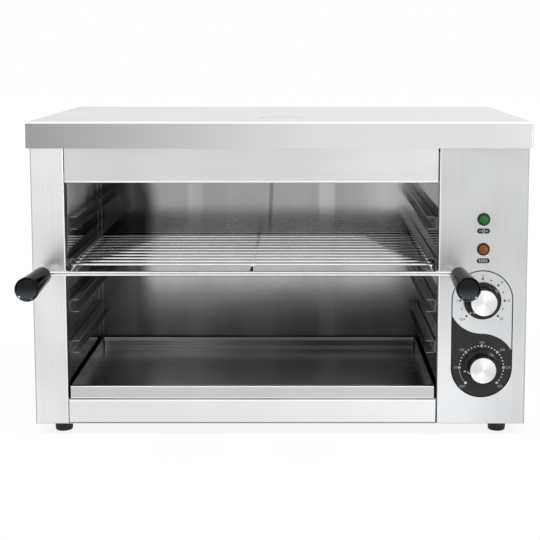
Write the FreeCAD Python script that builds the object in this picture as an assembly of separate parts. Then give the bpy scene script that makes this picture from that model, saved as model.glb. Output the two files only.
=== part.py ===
import FreeCAD, Part
import math
import os

from FreeCAD import Vector

# An electric cheese melter: an open fronted steel cabinet with two tubular heating elements under
# its ceiling, four pairs of rack guides, a wire rack with two handles, a drip tray, and a control
# panel with a timer, a thermostat and two lamps. Millimetres, X to the right seen from the front,
# Y to the back, Z up. The origin lies on the table, under the middle of the whole object.

os.makedirs("parts", exist_ok=True)

# Cabinet shell
cover_width = 600.0
cover_depth = 350.0
overall_height = 380.0
cover_lip = 31.5
cover_overhang = 4.0
cover_sheet = 1.2
cover_bend = 0.9
badge_radius = 27.0
badge_setback = 76.0
badge_depth = 0.5
sheet = 1.0
bend = 0.6
flange = 15.0
edge_return = 18.0
column_width = 40.0
control_width = 106.0
header_height = 73.0
header_return = 22.0
header_upturn = 10.0
rail_height = 29.7
seam = 0.8
butt_gap = 0.3

# Cavity
cavity_depth = 250.0
cavity_skirt = 12.0
ceiling_rise = 24.0
insulation_height = 30.0
insulation_ease = 0.5

# Rack guides
guide_levels = 4
guide_height = 15.6
guide_reach = 11.0
guide_sheet = 1.0
guide_bend = 1.0
guide_drop = 43.0
guide_rise = 52.9
guide_end_gap = 1.0

# Heating elements
element_radius = 4.0
element_drop = 25.0
element_leg_gap = 40.0
element_setback = 72.0
element_pair_gap = 50.0
element_flat = 4.0
element_end_gap = 16.0
element_tail = 14.0
terminal_radius = 1.6
terminal_length = 12.0
collar_radius = 7.4
collar_length = 7.0
element_hole_ease = 0.3
hanger_sheet = 1.5
hanger_flange = 10.0
hanger_margin = 10.0
hanger_foot = 2.0
hanger_inset_shares = (0.12, 0.62)

# Thermostat sensor
bulb_radius = 3.0
bulb_length = 84.0
bulb_drop = 11.0
bulb_wall_gap = 8.0
bulb_start = 96.0
capillary_radius = 0.8
capillary_bend = 10.0
clip_sheet = 0.8
clip_width = 6.0
clip_inset_shares = (0.2, 0.8)

# Vents
slot_length = 62.0
slot_width = 5.0
slot_pitch = 13.0
slot_count = 6
slot_columns = 2
louvre_length = 84.0
louvre_height = 9.0
louvre_reach = 3.4
louvre_sheet = 0.8
louvre_pitch = 19.0
louvre_count = 4
louvre_columns = 4
louvre_column_gap = 40.0
louvre_top_drop = 62.0

# Feet
foot_height = 13.4
foot_top_radius = 11.5
foot_bottom_radius = 10.2
foot_edge = 1.2
foot_side_inset = 30.0
foot_end_inset = 22.0
foot_recess_radius = 5.6
foot_recess = 5.0
foot_screw_radius = 2.0
foot_screw_head_radius = 4.4
foot_screw_head = 2.8
foot_nut_width = 7.0
foot_nut_height = 3.2
foot_screw_tail = 1.5

# Screws of the cover and the back panel
screw_radius = 1.7
screw_head_radius = 3.4
screw_head = 2.0
screw_dome = 0.7
screw_length = 7.0
hole_ease = 0.2
back_screws_per_side = 4
back_screw_margin = 24.0
cover_screw_count = 3
cover_screw_margin = 40.0

# Cable inlet at the back
gland_reach = 16.0
gland_hex_width = 22.0
gland_hex_height = 6.0
gland_dome_radius = 9.6
gland_mouth_radius = 6.6
gland_mouth_round = 1.0
gland_thread_radius = 8.0
gland_thread_length = 11.0
gland_bore_radius = 4.0
gland_nut_height = 4.5
gland_rise = 42.0
terminal_block_width = 44.0
terminal_block_depth = 20.0
terminal_block_height = 18.0
terminal_block_setback = 46.0
terminal_ways = 3
terminal_well_radius = 3.0
terminal_well_depth = 9.0

# Controls on the panel, one above the other
thermostat_rise = 69.6
dial_pitch = 82.0
heat_lamp_rise = 62.5
lamp_pitch = 36.0
shaft_radius = 3.0
shaft_flat = 2.2
shaft_depth = 18.0
shaft_cover = 2.5
bush_radius = 5.5
bush_front = 3.4
running_gap = 0.05
unit_width = 52.0
timer_unit_height = 56.0
timer_unit_depth = 44.0
unit_corner = 3.0
thermostat_unit_radius = 24.0
thermostat_unit_depth = 24.0
thermostat_plate_height = 40.0
thermostat_plate = 6.0
tab_width = 6.3
tab_sheet = 0.8
tab_length = 9.0
tab_gap = 14.0
control_screw_spread = 13.5
control_screw_radius = 1.5
control_screw_head_radius = 2.7
control_screw_head = 1.6
control_screw_length = 5.5

# Knobs
knob_gap = 1.0
skirt_radius = 22.5
skirt_height = 3.0
skirt_wall = 2.5
skirt_flare = 4.1
knob_taper = 1.2
knob_height = 15.4
knob_wall = 2.4
knob_hub_radius = 7.0
knob_hub_gap = 0.8
knob_edge = 0.9
cap_margin = 1.7
cap_sheet = 1.4
cap_dish = 0.5
cap_ease = 0.1

# Lamps
bezel_rim = 0.8
bezel_height = 2.0
bezel_floor = 0.6
lamp_barrel_radius = 6.0
lamp_barrel_length = 24.0
lamp_ring_rim = 2.6
lamp_ring_height = 3.0
lens_radius = 6.8
lens_rim = 1.9
lens_crown = 1.9
lens_ease = 0.1

# Rack
guides_above_rack_count = 1
slide_gap = 0.3
rack_rod_radius = 2.5
rack_rod_wall_gap = 0.8
rack_bar_radius = 3.0
rack_bar_standoff = 18.0
rack_elbow = 9.0
handle_half_span = 244.0
rack_wire_radius = 1.5
rack_wire_count = 11
rack_first_wire = 23.0
rack_back_gap = 11.0
rack_rod_tail = 3.0
weld_sink = 0.5

# Rack handles
handle_length = 84.0
handle_root_gap = 1.0
handle_root_radius = 10.4
handle_end_radius = 13.8
handle_shoulder = 5.0
handle_rim = 1.3
handle_dish = 1.6
handle_end_round = 1.0
handle_grip_depth = 46.0
handle_bore_ease = 0.1

# Drip tray
tray_side_gap = 3.0
tray_height = 15.7
tray_sheet = 1.0
tray_lip = 6.5
tray_back_gap = 6.0
tray_corner = 4.0

# Places that follow from the sizes above
touching = 1e-6
full_round_share = 0.96
half_width = cover_width / 2
body_half = half_width - cover_overhang
body_depth = cover_depth - 2 * cover_overhang
front_reach = rack_bar_standoff + rack_elbow + handle_root_gap + handle_length
body_front = front_reach - (front_reach + body_depth + gland_reach) / 2
body_rear = body_front + body_depth
cover_front = body_front - cover_overhang
cover_rear = body_rear + cover_overhang
body_top = overall_height - cover_sheet
base_top = foot_height + sheet
cavity_left = column_width - body_half
control_left = body_half - control_width
cavity_right = control_left - sheet
cavity_middle = (cavity_left + cavity_right) / 2
control_middle = control_left + control_width / 2
header_bottom = overall_height - header_height
rail_top = foot_height + rail_height
floor_top = rail_top + sheet
behind_face = body_front + sheet + bend
cavity_back = body_front + cavity_depth
wall_front = body_front + edge_return + butt_gap
ceiling_bottom = header_bottom + ceiling_rise
ceiling_top = ceiling_bottom + sheet
ceiling_front = body_front + header_return + butt_gap
wall_low = rail_top - cavity_skirt
wall_high = ceiling_top + cavity_skirt
panel_back = body_front + sheet
thermostat_height = foot_height + thermostat_rise
timer_height = thermostat_height + dial_pitch
heat_lamp_height = timer_height + heat_lamp_rise
power_lamp_height = heat_lamp_height + lamp_pitch


def at(plane, u, v, w):
    """A point given in a section plane, and w along the plane's normal."""
    if plane == "xy":
        return Vector(u, v, w)
    if plane == "yz":
        return Vector(w, u, v)
    return Vector(u, w, v)


def corner_turn(before, here, after, radius):
    """Start, middle and end of the arc that rounds the corner at here."""
    to_before = (before - here).normalize()
    to_after = (after - here).normalize()
    half_angle = to_before.getAngle(to_after) / 2
    reach = radius / math.tan(half_angle)
    inward = (to_before + to_after).normalize()
    centre = here + inward * (radius / math.sin(half_angle))
    return here + to_before * reach, centre - inward * radius, here + to_after * reach


def bent_wire(points, radii, closed):
    """Straight runs through the points, with each corner rounded to its radius."""
    count = len(points)
    turns = []
    for i in range(count):
        is_end = not closed and i in (0, count - 1)
        if is_end or radii[i] == 0:
            turns.append((points[i], None, points[i]))
        else:
            turns.append(corner_turn(points[i - 1], points[i], points[(i + 1) % count], radii[i]))
    edges = []
    for i in range(count):
        start, middle, end = turns[i]
        if middle is not None:
            edges.append(Part.Arc(start, middle, end).toShape())
        if closed or i < count - 1:
            next_start = turns[(i + 1) % count][0]
            if end.distanceToPoint(next_start) > touching:
                edges.append(Part.makeLine(end, next_start))
    return Part.Wire(edges)


def outline(plane, corners, w):
    """A closed outline of (u, v, corner radius) in a section plane."""
    points = [at(plane, corner[0], corner[1], w) for corner in corners]
    return bent_wire(points, [corner[2] for corner in corners], True)


def prism(plane, corners, low, high):
    """The outline drawn out from low to high along the plane's normal."""
    return Part.Face(outline(plane, corners, low)).extrude(at(plane, 0, 0, high - low))


def folded(plane, path, thickness, inner_bend, low, high):
    """Sheet of one thickness folded along the middle line path, drawn out from low to high."""
    runs = []
    for (u0, v0), (u1, v1) in zip(path[:-1], path[1:]):
        length = math.hypot(u1 - u0, v1 - v0)
        runs.append(((u1 - u0) / length, (v1 - v0) / length))
    left_side = []
    right_side = []
    for i, (u, v) in enumerate(path):
        before = runs[max(i - 1, 0)]
        after = runs[min(i, len(runs) - 1)]
        stretch = 1 + before[0] * after[0] + before[1] * after[1]
        offset_u = -(before[1] + after[1]) / stretch * thickness / 2
        offset_v = (before[0] + after[0]) / stretch * thickness / 2
        turn = before[0] * after[1] - before[1] * after[0]
        left_round = 0
        right_round = 0
        if turn > 0:
            left_round, right_round = inner_bend, inner_bend + thickness
        elif turn < 0:
            left_round, right_round = inner_bend + thickness, inner_bend
        left_side.append((u + offset_u, v + offset_v, left_round))
        right_side.append((u - offset_u, v - offset_v, right_round))
    return prism(plane, left_side + right_side[::-1], low, high)


def block(x0, x1, y0, y1, z0, z1):
    """A box between two corners."""
    return Part.makeBox(x1 - x0, y1 - y0, z1 - z0, Vector(x0, y0, z0))


def rod_x(y, z, radius, x0, x1):
    """A round rod along X."""
    return Part.makeCylinder(radius, x1 - x0, Vector(x0, y, z), Vector(1, 0, 0))


def rod_y(x, z, radius, y0, y1):
    """A round rod along Y."""
    return Part.makeCylinder(radius, y1 - y0, Vector(x, y0, z), Vector(0, 1, 0))


def rod_z(x, y, radius, z0, z1):
    """A round rod along Z."""
    return Part.makeCylinder(radius, z1 - z0, Vector(x, y, z0), Vector(0, 0, 1))


def hexagon(plane, u, v, across_flats, low, high):
    """A hexagonal prism, as a nut or a spanner flat."""
    corner = across_flats / math.sqrt(3)
    angles = [math.radians(60 * i) for i in range(6)]
    corners = [(u + corner * math.cos(a), v + corner * math.sin(a), 0) for a in angles]
    return prism(plane, corners, low, high)


def bent_rod(points, bend_radius, rod_radius):
    """A round rod through the points, with its corners bent to one radius."""
    path = bent_wire(points, [bend_radius] * len(points), False)
    circle = Part.Circle(points[0], points[1] - points[0], rod_radius)
    return path.makePipeShell([Part.Wire(circle.toShape())], True, False)


def turned(x, z, y_of, profile):
    """A form turned about an axis along Y, from a closed profile of (radius, distance, round)."""
    points = [Vector(x + corner[0], y_of(corner[1]), z) for corner in profile]
    wire = bent_wire(points, [corner[2] for corner in profile], True)
    return Part.Face(wire).revolve(Vector(x, 0, z), Vector(0, 1, 0), 360)


def ahead(h):
    """Y of a place that lies h in front of the control panel."""
    return body_front - h


def round_edges(shape, radius, wanted):
    """The shape with the edges rounded whose middle point passes the test."""
    chosen = [edge for edge in shape.Edges if wanted(edge, edge.CenterOfMass)]
    return shape.makeFillet(radius, chosen)


def near(a, b):
    """True where two places are the same one."""
    return abs(a - b) < sheet / 10


def spread(first, last, count):
    """Evenly spaced places from first to last."""
    return [first + (last - first) * i / (count - 1) for i in range(count)]


def save(node, *solids):
    """Writes one node, of one solid or of a group of like solids."""
    shape = solids[0] if len(solids) == 1 else Part.makeCompound(list(solids))
    shape.exportStep("parts/%s.step" % node)


# Screw places that the panels and their screws share
back_screw_x = body_half - flange / 2
back_screw_heights = spread(base_top + back_screw_margin, header_bottom + back_screw_margin,
                            back_screws_per_side)
back_screw_places = [(side * back_screw_x, z) for side in (-1, 1) for z in back_screw_heights]
cover_screw_places = spread(cover_screw_margin - body_half, body_half - cover_screw_margin,
                            cover_screw_count)
cover_screw_height = overall_height - cover_lip / 2
foot_x = body_half - foot_side_inset
foot_front_y = body_front + foot_end_inset
foot_rear_y = body_rear - foot_end_inset
control_heights = (timer_height, thermostat_height)


# Top cover: one sheet with four lips turned down over the body, and a shallow pressed round
# in its top, which is left blank
cover_round = cover_bend + cover_sheet
cover_outer = block(-half_width, half_width, cover_front, cover_rear,
                    overall_height - cover_lip, overall_height)


def is_cover_fold(edge, middle):
    upright = near(middle.z, overall_height - cover_lip / 2)
    return upright or near(middle.z, overall_height)


cover_outer = round_edges(cover_outer, cover_round, is_cover_fold)
cover_inner = block(cover_sheet - half_width, half_width - cover_sheet, cover_front + cover_sheet,
                    cover_rear - cover_sheet, overall_height - cover_lip, body_top)
top_cover = cover_outer.cut(cover_inner)
badge_y = cover_front + badge_setback
top_cover = top_cover.cut(rod_z(0, badge_y, badge_radius, overall_height - badge_depth,
                                overall_height + badge_depth))
for x in cover_screw_places:
    top_cover = top_cover.cut(rod_y(x, cover_screw_height, screw_radius + hole_ease,
                                    cover_rear - 2 * cover_sheet, cover_rear + cover_sheet))
save("top_cover", top_cover)


def side_flanges(x0, x1, y0, y1):
    """The flanges at the top and the foot of a side panel."""
    low = block(x0, x1, y0, y1, base_top, base_top + sheet)
    high = block(x0, x1, y0, y1, body_top - sheet, body_top)
    return low, high


def rear_flange_holes(side):
    """Holes in a side panel's rear flange for the back panel's screws."""
    reach = 2 * sheet
    return [rod_y(x, z, screw_radius + hole_ease, body_rear - sheet - reach, body_rear)
            for x, z in back_screw_places if x * side > 0]


# Left side panel: wraps round the front as the left column and turns into the cavity
half_sheet = sheet / 2
left_path = [(cavity_left - half_sheet, body_front + edge_return),
             (cavity_left - half_sheet, body_front + half_sheet),
             (half_sheet - body_half, body_front + half_sheet),
             (half_sheet - body_half, body_rear - sheet - half_sheet),
             (flange - body_half, body_rear - sheet - half_sheet)]
left_side_panel = folded("xy", left_path, sheet, bend, base_top, body_top)
flange_front = body_front + sheet
flange_rear = body_rear - 2 * sheet
left_side_panel = left_side_panel.fuse(side_flanges(sheet - body_half, flange - body_half,
                                                    flange_front, flange_rear))
left_side_panel = left_side_panel.cut(rear_flange_holes(-1)).removeSplitter()
save("left_side_panel", left_side_panel)

# Right side panel: flanged at the front behind the control panel, and at the back
right_path = [(body_half - flange, panel_back + half_sheet),
              (body_half - half_sheet, panel_back + half_sheet),
              (body_half - half_sheet, body_rear - sheet - half_sheet),
              (body_half - flange, body_rear - sheet - half_sheet)]
right_side_panel = folded("xy", right_path, sheet, bend, base_top, body_top)
right_side_panel = right_side_panel.fuse(side_flanges(body_half - flange, body_half - sheet,
                                                      flange_front + sheet, flange_rear))
right_side_panel = right_side_panel.cut(rear_flange_holes(1)).removeSplitter()
save("right_side_panel", right_side_panel)

# Control panel: a flat face with one edge turned in beside the cavity, and holes for its controls
control_path = [(control_left + half_sheet, body_front + edge_return),
                (control_left + half_sheet, body_front + half_sheet),
                (body_half, body_front + half_sheet)]
control_panel = folded("xy", control_path, sheet, bend, base_top, body_top)
hole_front = body_front - sheet
hole_back = panel_back + sheet
control_holes = []
for z in control_heights:
    control_holes.append(rod_y(control_middle, z, bush_radius + hole_ease, hole_front, hole_back))
    for side in (-1, 1):
        control_holes.append(rod_y(control_middle + side * control_screw_spread, z,
                                   control_screw_radius + hole_ease, hole_front, hole_back))
for z in (power_lamp_height, heat_lamp_height):
    control_holes.append(rod_y(control_middle, z, lamp_barrel_radius + hole_ease, hole_front, hole_back))
control_panel = control_panel.cut(control_holes)
save("control_panel", control_panel)

# Header over the opening, and the rail under it: folded strips with a seam at each end
strip_left = cavity_left + seam
strip_right = cavity_right - seam
header_path = [(body_front + flange, body_top - half_sheet),
               (body_front + half_sheet, body_top - half_sheet),
               (body_front + half_sheet, header_bottom + half_sheet),
               (body_front + header_return - half_sheet, header_bottom + half_sheet),
               (body_front + header_return - half_sheet, header_bottom + header_upturn)]
save("front_header", folded("yz", header_path, sheet, bend, strip_left, strip_right))
rail_path = [(body_front + flange, base_top + half_sheet),
             (body_front + half_sheet, base_top + half_sheet),
             (body_front + half_sheet, rail_top - half_sheet),
             (body_front + edge_return, rail_top - half_sheet)]
save("bottom_rail", folded("yz", rail_path, sheet, bend, strip_left, strip_right))


def slot(x, y, z0, z1):
    """The space of one straight vent slot with round ends, along X."""
    half_length = slot_length / 2
    half_slot = slot_width / 2
    end_round = half_slot * full_round_share
    corners = [(x - half_length, y - half_slot, end_round),
               (x + half_length, y - half_slot, end_round),
               (x + half_length, y + half_slot, end_round),
               (x - half_length, y + half_slot, end_round)]
    return prism("xy", corners, z0, z1)


# Base plate: closes the cabinet from below, with vent slots under the controls
base_plate = block(-body_half, body_half, body_front, body_rear, foot_height, base_top)
base_cuts = []
slot_first_y = (body_front + body_rear - slot_pitch * (slot_count - 1)) / 2
for i in range(slot_count):
    slot_y = slot_first_y + i * slot_pitch
    base_cuts.append(slot(control_middle, slot_y, foot_height - sheet, base_top + sheet))
    for x in spread(cavity_left + slot_length, cavity_right - slot_length, slot_columns):
        base_cuts.append(slot(x, slot_y, foot_height - sheet, base_top + sheet))
for x in (-foot_x, foot_x):
    for y in (foot_front_y, foot_rear_y):
        base_cuts.append(rod_z(x, y, foot_screw_radius + hole_ease, foot_height - sheet,
                               base_top + sheet))
save("base_plate", base_plate.cut(base_cuts))


def louvre_space(x, z):
    """The opening in the sheet under one louvre's hood."""
    half_length = louvre_length / 2 - louvre_sheet
    return block(x - half_length, x + half_length, body_rear - 2 * sheet, body_rear + sheet,
                 z, z + louvre_height - 2 * louvre_sheet)


def louvre_hood(x, z):
    """One louvre's hood: pressed out of the sheet, round at its top and open at its foot."""
    half_length = louvre_length / 2
    out = body_rear + louvre_reach
    hood_round = louvre_reach * full_round_share
    outer = [(body_rear, z, 0), (out, z, 0), (out, z + louvre_height, hood_round),
             (body_rear, z + louvre_height, 0)]
    inner_round = hood_round - louvre_sheet
    inner = [(body_rear, z, 0), (out - louvre_sheet, z, 0),
             (out - louvre_sheet, z + louvre_height - louvre_sheet, inner_round),
             (body_rear, z + louvre_height - louvre_sheet, 0)]
    hood = prism("yz", outer, x - half_length, x + half_length)
    return hood.cut(prism("yz", inner, x - half_length + louvre_sheet, x + half_length - louvre_sheet))


# Back panel: flat, louvred near the top, screwed to the side panels, with the cable inlet's hole
gland_z = base_top + gland_rise
back_panel = block(-body_half, body_half, body_rear - sheet, body_rear, base_top, body_top)
louvre_row = (louvre_columns - 1) * (louvre_length + louvre_column_gap) / 2
louvre_places = []
for x in spread(-louvre_row, louvre_row, louvre_columns):
    for i in range(louvre_count):
        louvre_places.append((x, overall_height - louvre_top_drop - i * louvre_pitch))
back_panel = back_panel.fuse([louvre_hood(x, z) for x, z in louvre_places])
back_cuts = [louvre_space(x, z) for x, z in louvre_places]
back_cuts.append(rod_y(control_middle, gland_z, gland_thread_radius + hole_ease,
                       body_rear - 2 * sheet, body_rear + sheet))
for x, z in back_screw_places + [(x, cover_screw_height) for x in cover_screw_places]:
    back_cuts.append(rod_y(x, z, screw_radius + hole_ease, body_rear - 2 * sheet, body_rear + sheet))
save("back_panel", back_panel.cut(back_cuts).removeSplitter())

# Heating element places, which the walls' holes and the hangers share
element_z = ceiling_bottom - element_drop
element_front = body_front + element_setback
element_legs = []
for first_leg in (element_front, element_front + element_leg_gap + element_pair_gap):
    element_legs.append((first_leg, first_leg + element_leg_gap))
all_legs = [y for pair in element_legs for y in pair]
bulb_x = cavity_right - bulb_wall_gap
bulb_z = ceiling_bottom - bulb_drop
bulb_front = body_front + bulb_start
capillary_y = bulb_front - capillary_bend

# Cavity lining: two side walls, a back wall, a ceiling and a floor
left_cavity_wall = block(cavity_left - sheet, cavity_left, wall_front, cavity_back, wall_low, wall_high)
save("left_cavity_wall", left_cavity_wall)
right_cavity_wall = block(cavity_right, control_left, behind_face, cavity_back, wall_low, wall_high)
right_holes = [rod_x(y, element_z, element_radius + element_hole_ease, cavity_right - sheet,
                     control_left + sheet) for y in all_legs]
right_holes.append(rod_x(capillary_y, bulb_z, capillary_radius + element_hole_ease,
                         cavity_right - sheet, control_left + sheet))
save("right_cavity_wall", right_cavity_wall.cut(right_holes))
back_path = [(cavity_back + cavity_skirt, wall_low + half_sheet),
             (cavity_back + half_sheet, wall_low + half_sheet),
             (cavity_back + half_sheet, wall_high - half_sheet),
             (cavity_back + cavity_skirt, wall_high - half_sheet)]
save("cavity_back_wall", folded("yz", back_path, sheet, bend, cavity_left - sheet, control_left))
ceiling_path = [(cavity_left + half_sheet, wall_high),
                (cavity_left + half_sheet, ceiling_bottom + half_sheet),
                (cavity_right - half_sheet, ceiling_bottom + half_sheet),
                (cavity_right - half_sheet, wall_high)]
save("cavity_ceiling", folded("xz", ceiling_path, sheet, bend, ceiling_front, cavity_back))
floor_path = [(cavity_left + half_sheet, wall_low),
              (cavity_left + half_sheet, rail_top + half_sheet),
              (cavity_right - half_sheet, rail_top + half_sheet),
              (cavity_right - half_sheet, wall_low)]
cavity_floor = folded("xz", floor_path, sheet, bend, wall_front, cavity_back)
floor_front = block(cavity_left, cavity_right, behind_face, wall_front, rail_top, floor_top)
save("cavity_floor", cavity_floor.fuse(floor_front).removeSplitter())
insulation = block(cavity_left + sheet + insulation_ease, cavity_right - sheet - insulation_ease,
                   ceiling_front + insulation_ease, cavity_back, ceiling_top + bend,
                   ceiling_top + insulation_height)
save("ceiling_insulation", insulation)

# Rack guides: four pairs of channels, open to the cavity, spot welded to its side walls
highest_guide = header_bottom - guide_drop - guide_height
lowest_guide = rail_top + guide_rise
guide_bottoms = spread(highest_guide, lowest_guide, guide_levels)
guide_front = wall_front + guide_end_gap
guide_back = cavity_back - guide_end_gap
half_guide_sheet = guide_sheet / 2


def guide(wall_x, inward, bottom):
    """One channel on a wall, with inward 1 or -1 for the side that its opening faces."""
    tip = wall_x + inward * guide_reach
    web = wall_x + inward * half_guide_sheet
    path = [(tip, bottom + half_guide_sheet), (web, bottom + half_guide_sheet),
            (web, bottom + guide_height - half_guide_sheet),
            (tip, bottom + guide_height - half_guide_sheet)]
    return folded("xz", path, guide_sheet, guide_bend, guide_front, guide_back)


for level in range(guide_levels):
    save("rack_guide_left_%d" % (level + 1), guide(cavity_left, 1, guide_bottoms[level]))
    save("rack_guide_right_%d" % (level + 1), guide(cavity_right, -1, guide_bottoms[level]))


def heating_element(front_leg, rear_leg):
    """A hairpin tube whose two ends pass through the right wall, with a collar and a pin on each."""
    far_x = cavity_left + element_end_gap
    tail_x = control_left + element_tail
    points = [Vector(tail_x, front_leg, element_z), Vector(far_x, front_leg, element_z),
              Vector(far_x, rear_leg, element_z), Vector(tail_x, rear_leg, element_z)]
    tube = bent_rod(points, (rear_leg - front_leg - element_flat) / 2, element_radius)
    extras = []
    for y in (front_leg, rear_leg):
        extras.append(rod_x(y, element_z, collar_radius, cavity_right - collar_length, cavity_right))
        extras.append(rod_x(y, element_z, terminal_radius, tail_x, tail_x + terminal_length))
    return tube.fuse(extras)


save("front_heating_element", heating_element(*element_legs[0]))
save("rear_heating_element", heating_element(*element_legs[1]))


def hanger(share):
    """A strip under the ceiling with a flange on top and a round hole for each element leg."""
    x = cavity_left + (cavity_right - cavity_left) * share
    path = [(x + hanger_flange, ceiling_bottom - hanger_sheet / 2),
            (x, ceiling_bottom - hanger_sheet / 2),
            (x, element_z - element_radius - hanger_foot)]
    strip = folded("xz", path, hanger_sheet, bend, all_legs[0] - hanger_margin,
                   all_legs[-1] + hanger_margin)
    holes = [rod_x(y, element_z, element_radius + element_hole_ease, x - hanger_sheet,
                   x + hanger_sheet) for y in all_legs]
    return strip.cut(holes)


save("element_hangers", *[hanger(share) for share in hanger_inset_shares])

# Thermostat sensor: a bulb under the ceiling beside the right wall, with its capillary tube
bulb_back = bulb_front + bulb_length
capillary_x = control_middle - thermostat_unit_radius / 2
capillary_low = thermostat_height + thermostat_unit_radius / 2
capillary_points = [Vector(bulb_x, bulb_front, bulb_z), Vector(bulb_x, capillary_y, bulb_z),
                    Vector(capillary_x, capillary_y, bulb_z),
                    Vector(capillary_x, capillary_y, capillary_low),
                    Vector(capillary_x, panel_back + thermostat_unit_depth, capillary_low)]
bulb = rod_y(bulb_x, bulb_z, bulb_radius, bulb_front, bulb_back)
bulb = round_edges(bulb, bulb_radius - capillary_radius, lambda edge, middle: near(middle.y, bulb_back))
capillary_path_bend = min(capillary_bend, bulb_wall_gap) - capillary_radius
save("thermostat_bulb", bulb.fuse(bent_rod(capillary_points, capillary_path_bend, capillary_radius)))


def bulb_clip(share):
    """A spring clip that holds the bulb against the ceiling."""
    y = bulb_front + bulb_length * share
    inner = bulb_radius + running_gap
    outer = inner + clip_sheet
    ring = rod_y(bulb_x, bulb_z, outer, y - clip_width / 2, y + clip_width / 2)
    stem = block(bulb_x - clip_sheet, bulb_x + clip_sheet, y - clip_width / 2, y + clip_width / 2,
                 bulb_z, ceiling_bottom)
    return ring.fuse(stem).cut(rod_y(bulb_x, bulb_z, inner, y - clip_width, y + clip_width))


save("bulb_clips", *[bulb_clip(share) for share in clip_inset_shares])

# Rubber feet, each with a screw up through its recess and a nut on the base plate


def foot(x, y):
    """A tapered rubber foot with a recess for its screw."""
    cone = Part.makeCone(foot_bottom_radius, foot_top_radius, foot_height, Vector(x, y, 0))
    cone = round_edges(cone, foot_edge, lambda edge, middle: near(middle.z, 0))
    recess = rod_z(x, y, foot_recess_radius, 0, foot_recess)
    return cone.cut([recess, rod_z(x, y, foot_screw_radius + hole_ease, 0, foot_height)])


def foot_screw(x, y):
    """The screw of a foot with its nut."""
    tail = base_top + foot_nut_height + foot_screw_tail
    head = rod_z(x, y, foot_screw_head_radius, foot_recess - foot_screw_head, foot_recess)
    shank = rod_z(x, y, foot_screw_radius, foot_recess, tail)
    nut = hexagon("xy", x, y, foot_nut_width, base_top, base_top + foot_nut_height)
    return head.fuse([shank, nut])


foot_places = {"foot_front_left": (-foot_x, foot_front_y), "foot_front_right": (foot_x, foot_front_y),
               "foot_rear_left": (-foot_x, foot_rear_y), "foot_rear_right": (foot_x, foot_rear_y)}
for node, (x, y) in foot_places.items():
    save(node, foot(x, y))
save("foot_screws", *[foot_screw(x, y) for x, y in foot_places.values()])


def panel_screw(x, seat, z):
    """A pan head screw driven forward from the seat, which faces the back."""
    head = rod_y(x, z, screw_head_radius, seat, seat + screw_head)
    head = round_edges(head, screw_dome, lambda edge, middle: near(middle.y, seat + screw_head))
    return head.fuse(rod_y(x, z, screw_radius, seat - screw_length, seat))


save("back_panel_screws", *[panel_screw(x, body_rear, z) for x, z in back_screw_places])
save("cover_screws", *[panel_screw(x, cover_rear, cover_screw_height) for x in cover_screw_places])

# Cable inlet: a gland through the back panel with a nut inside, and the terminal block


def behind(h):
    """Y of a place that lies h behind the back panel."""
    return body_rear + h


gland_shoulder = gland_hex_height + (gland_reach - gland_hex_height) / 2
gland_profile = [(0, 0, 0), (0, gland_reach, 0), (gland_mouth_radius, gland_reach, gland_mouth_round),
                 (gland_dome_radius, gland_shoulder, 0), (gland_dome_radius, 0, 0)]
gland_dome = turned(control_middle, gland_z, behind, gland_profile)
gland_hex = hexagon("xz", control_middle, gland_z, gland_hex_width, body_rear, body_rear + gland_hex_height)
gland_thread = rod_y(control_middle, gland_z, gland_thread_radius, body_rear - gland_thread_length,
                     body_rear)
gland_bore = rod_y(control_middle, gland_z, gland_bore_radius, body_rear - 2 * gland_thread_length,
                   body_rear + 2 * gland_reach)
save("cable_gland", gland_dome.fuse([gland_hex, gland_thread]).cut(gland_bore))
nut_back = body_rear - sheet
nut = hexagon("xz", control_middle, gland_z, gland_hex_width, nut_back - gland_nut_height, nut_back)
save("gland_nut", nut.cut(rod_y(control_middle, gland_z, gland_thread_radius + running_gap,
                                nut_back - 2 * gland_nut_height, body_rear)))
block_rear = body_rear - terminal_block_setback
terminal_block = block(control_middle - terminal_block_width / 2,
                       control_middle + terminal_block_width / 2,
                       block_rear - terminal_block_depth, block_rear, base_top,
                       base_top + terminal_block_height)
well_reach = terminal_block_width / 2 - 2 * terminal_well_radius
for x in spread(control_middle - well_reach, control_middle + well_reach, terminal_ways):
    top = base_top + terminal_block_height
    terminal_block = terminal_block.cut(rod_z(x, block_rear - terminal_block_depth / 2,
                                              terminal_well_radius, top - terminal_well_depth, top))
save("terminal_block", terminal_block)


def shaft_form(z, ease, back, front, flat_from):
    """A control shaft with a flat on the side of its end, or with ease the space that it needs."""
    radius = shaft_radius + ease
    shaft = rod_y(control_middle, z, radius, ahead(front), ahead(-back))
    flat = block(control_middle + shaft_flat + ease, control_middle + 2 * shaft_radius,
                 ahead(front + ease), ahead(flat_from), z - 2 * shaft_radius, z + 2 * shaft_radius)
    return shaft.cut(flat)


def unit_cuts(z):
    """The shaft's bore and the screw holes in a control unit."""
    cuts = [rod_y(control_middle, z, shaft_radius + running_gap, ahead(2 * bush_front),
                  ahead(-shaft_depth - hole_ease))]
    for side in (-1, 1):
        cuts.append(rod_y(control_middle + side * control_screw_spread, z,
                          control_screw_radius + running_gap, ahead(0),
                          ahead(-control_screw_length - hole_ease)))
    return cuts


def tabs(z, back):
    """Three flat terminals on the back of a control unit."""
    return [block(x - tab_width / 2, x + tab_width / 2, back, back + tab_length, z - tab_sheet / 2,
                  z + tab_sheet / 2)
            for x in spread(control_middle - tab_gap, control_middle + tab_gap, terminal_ways)]


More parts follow.
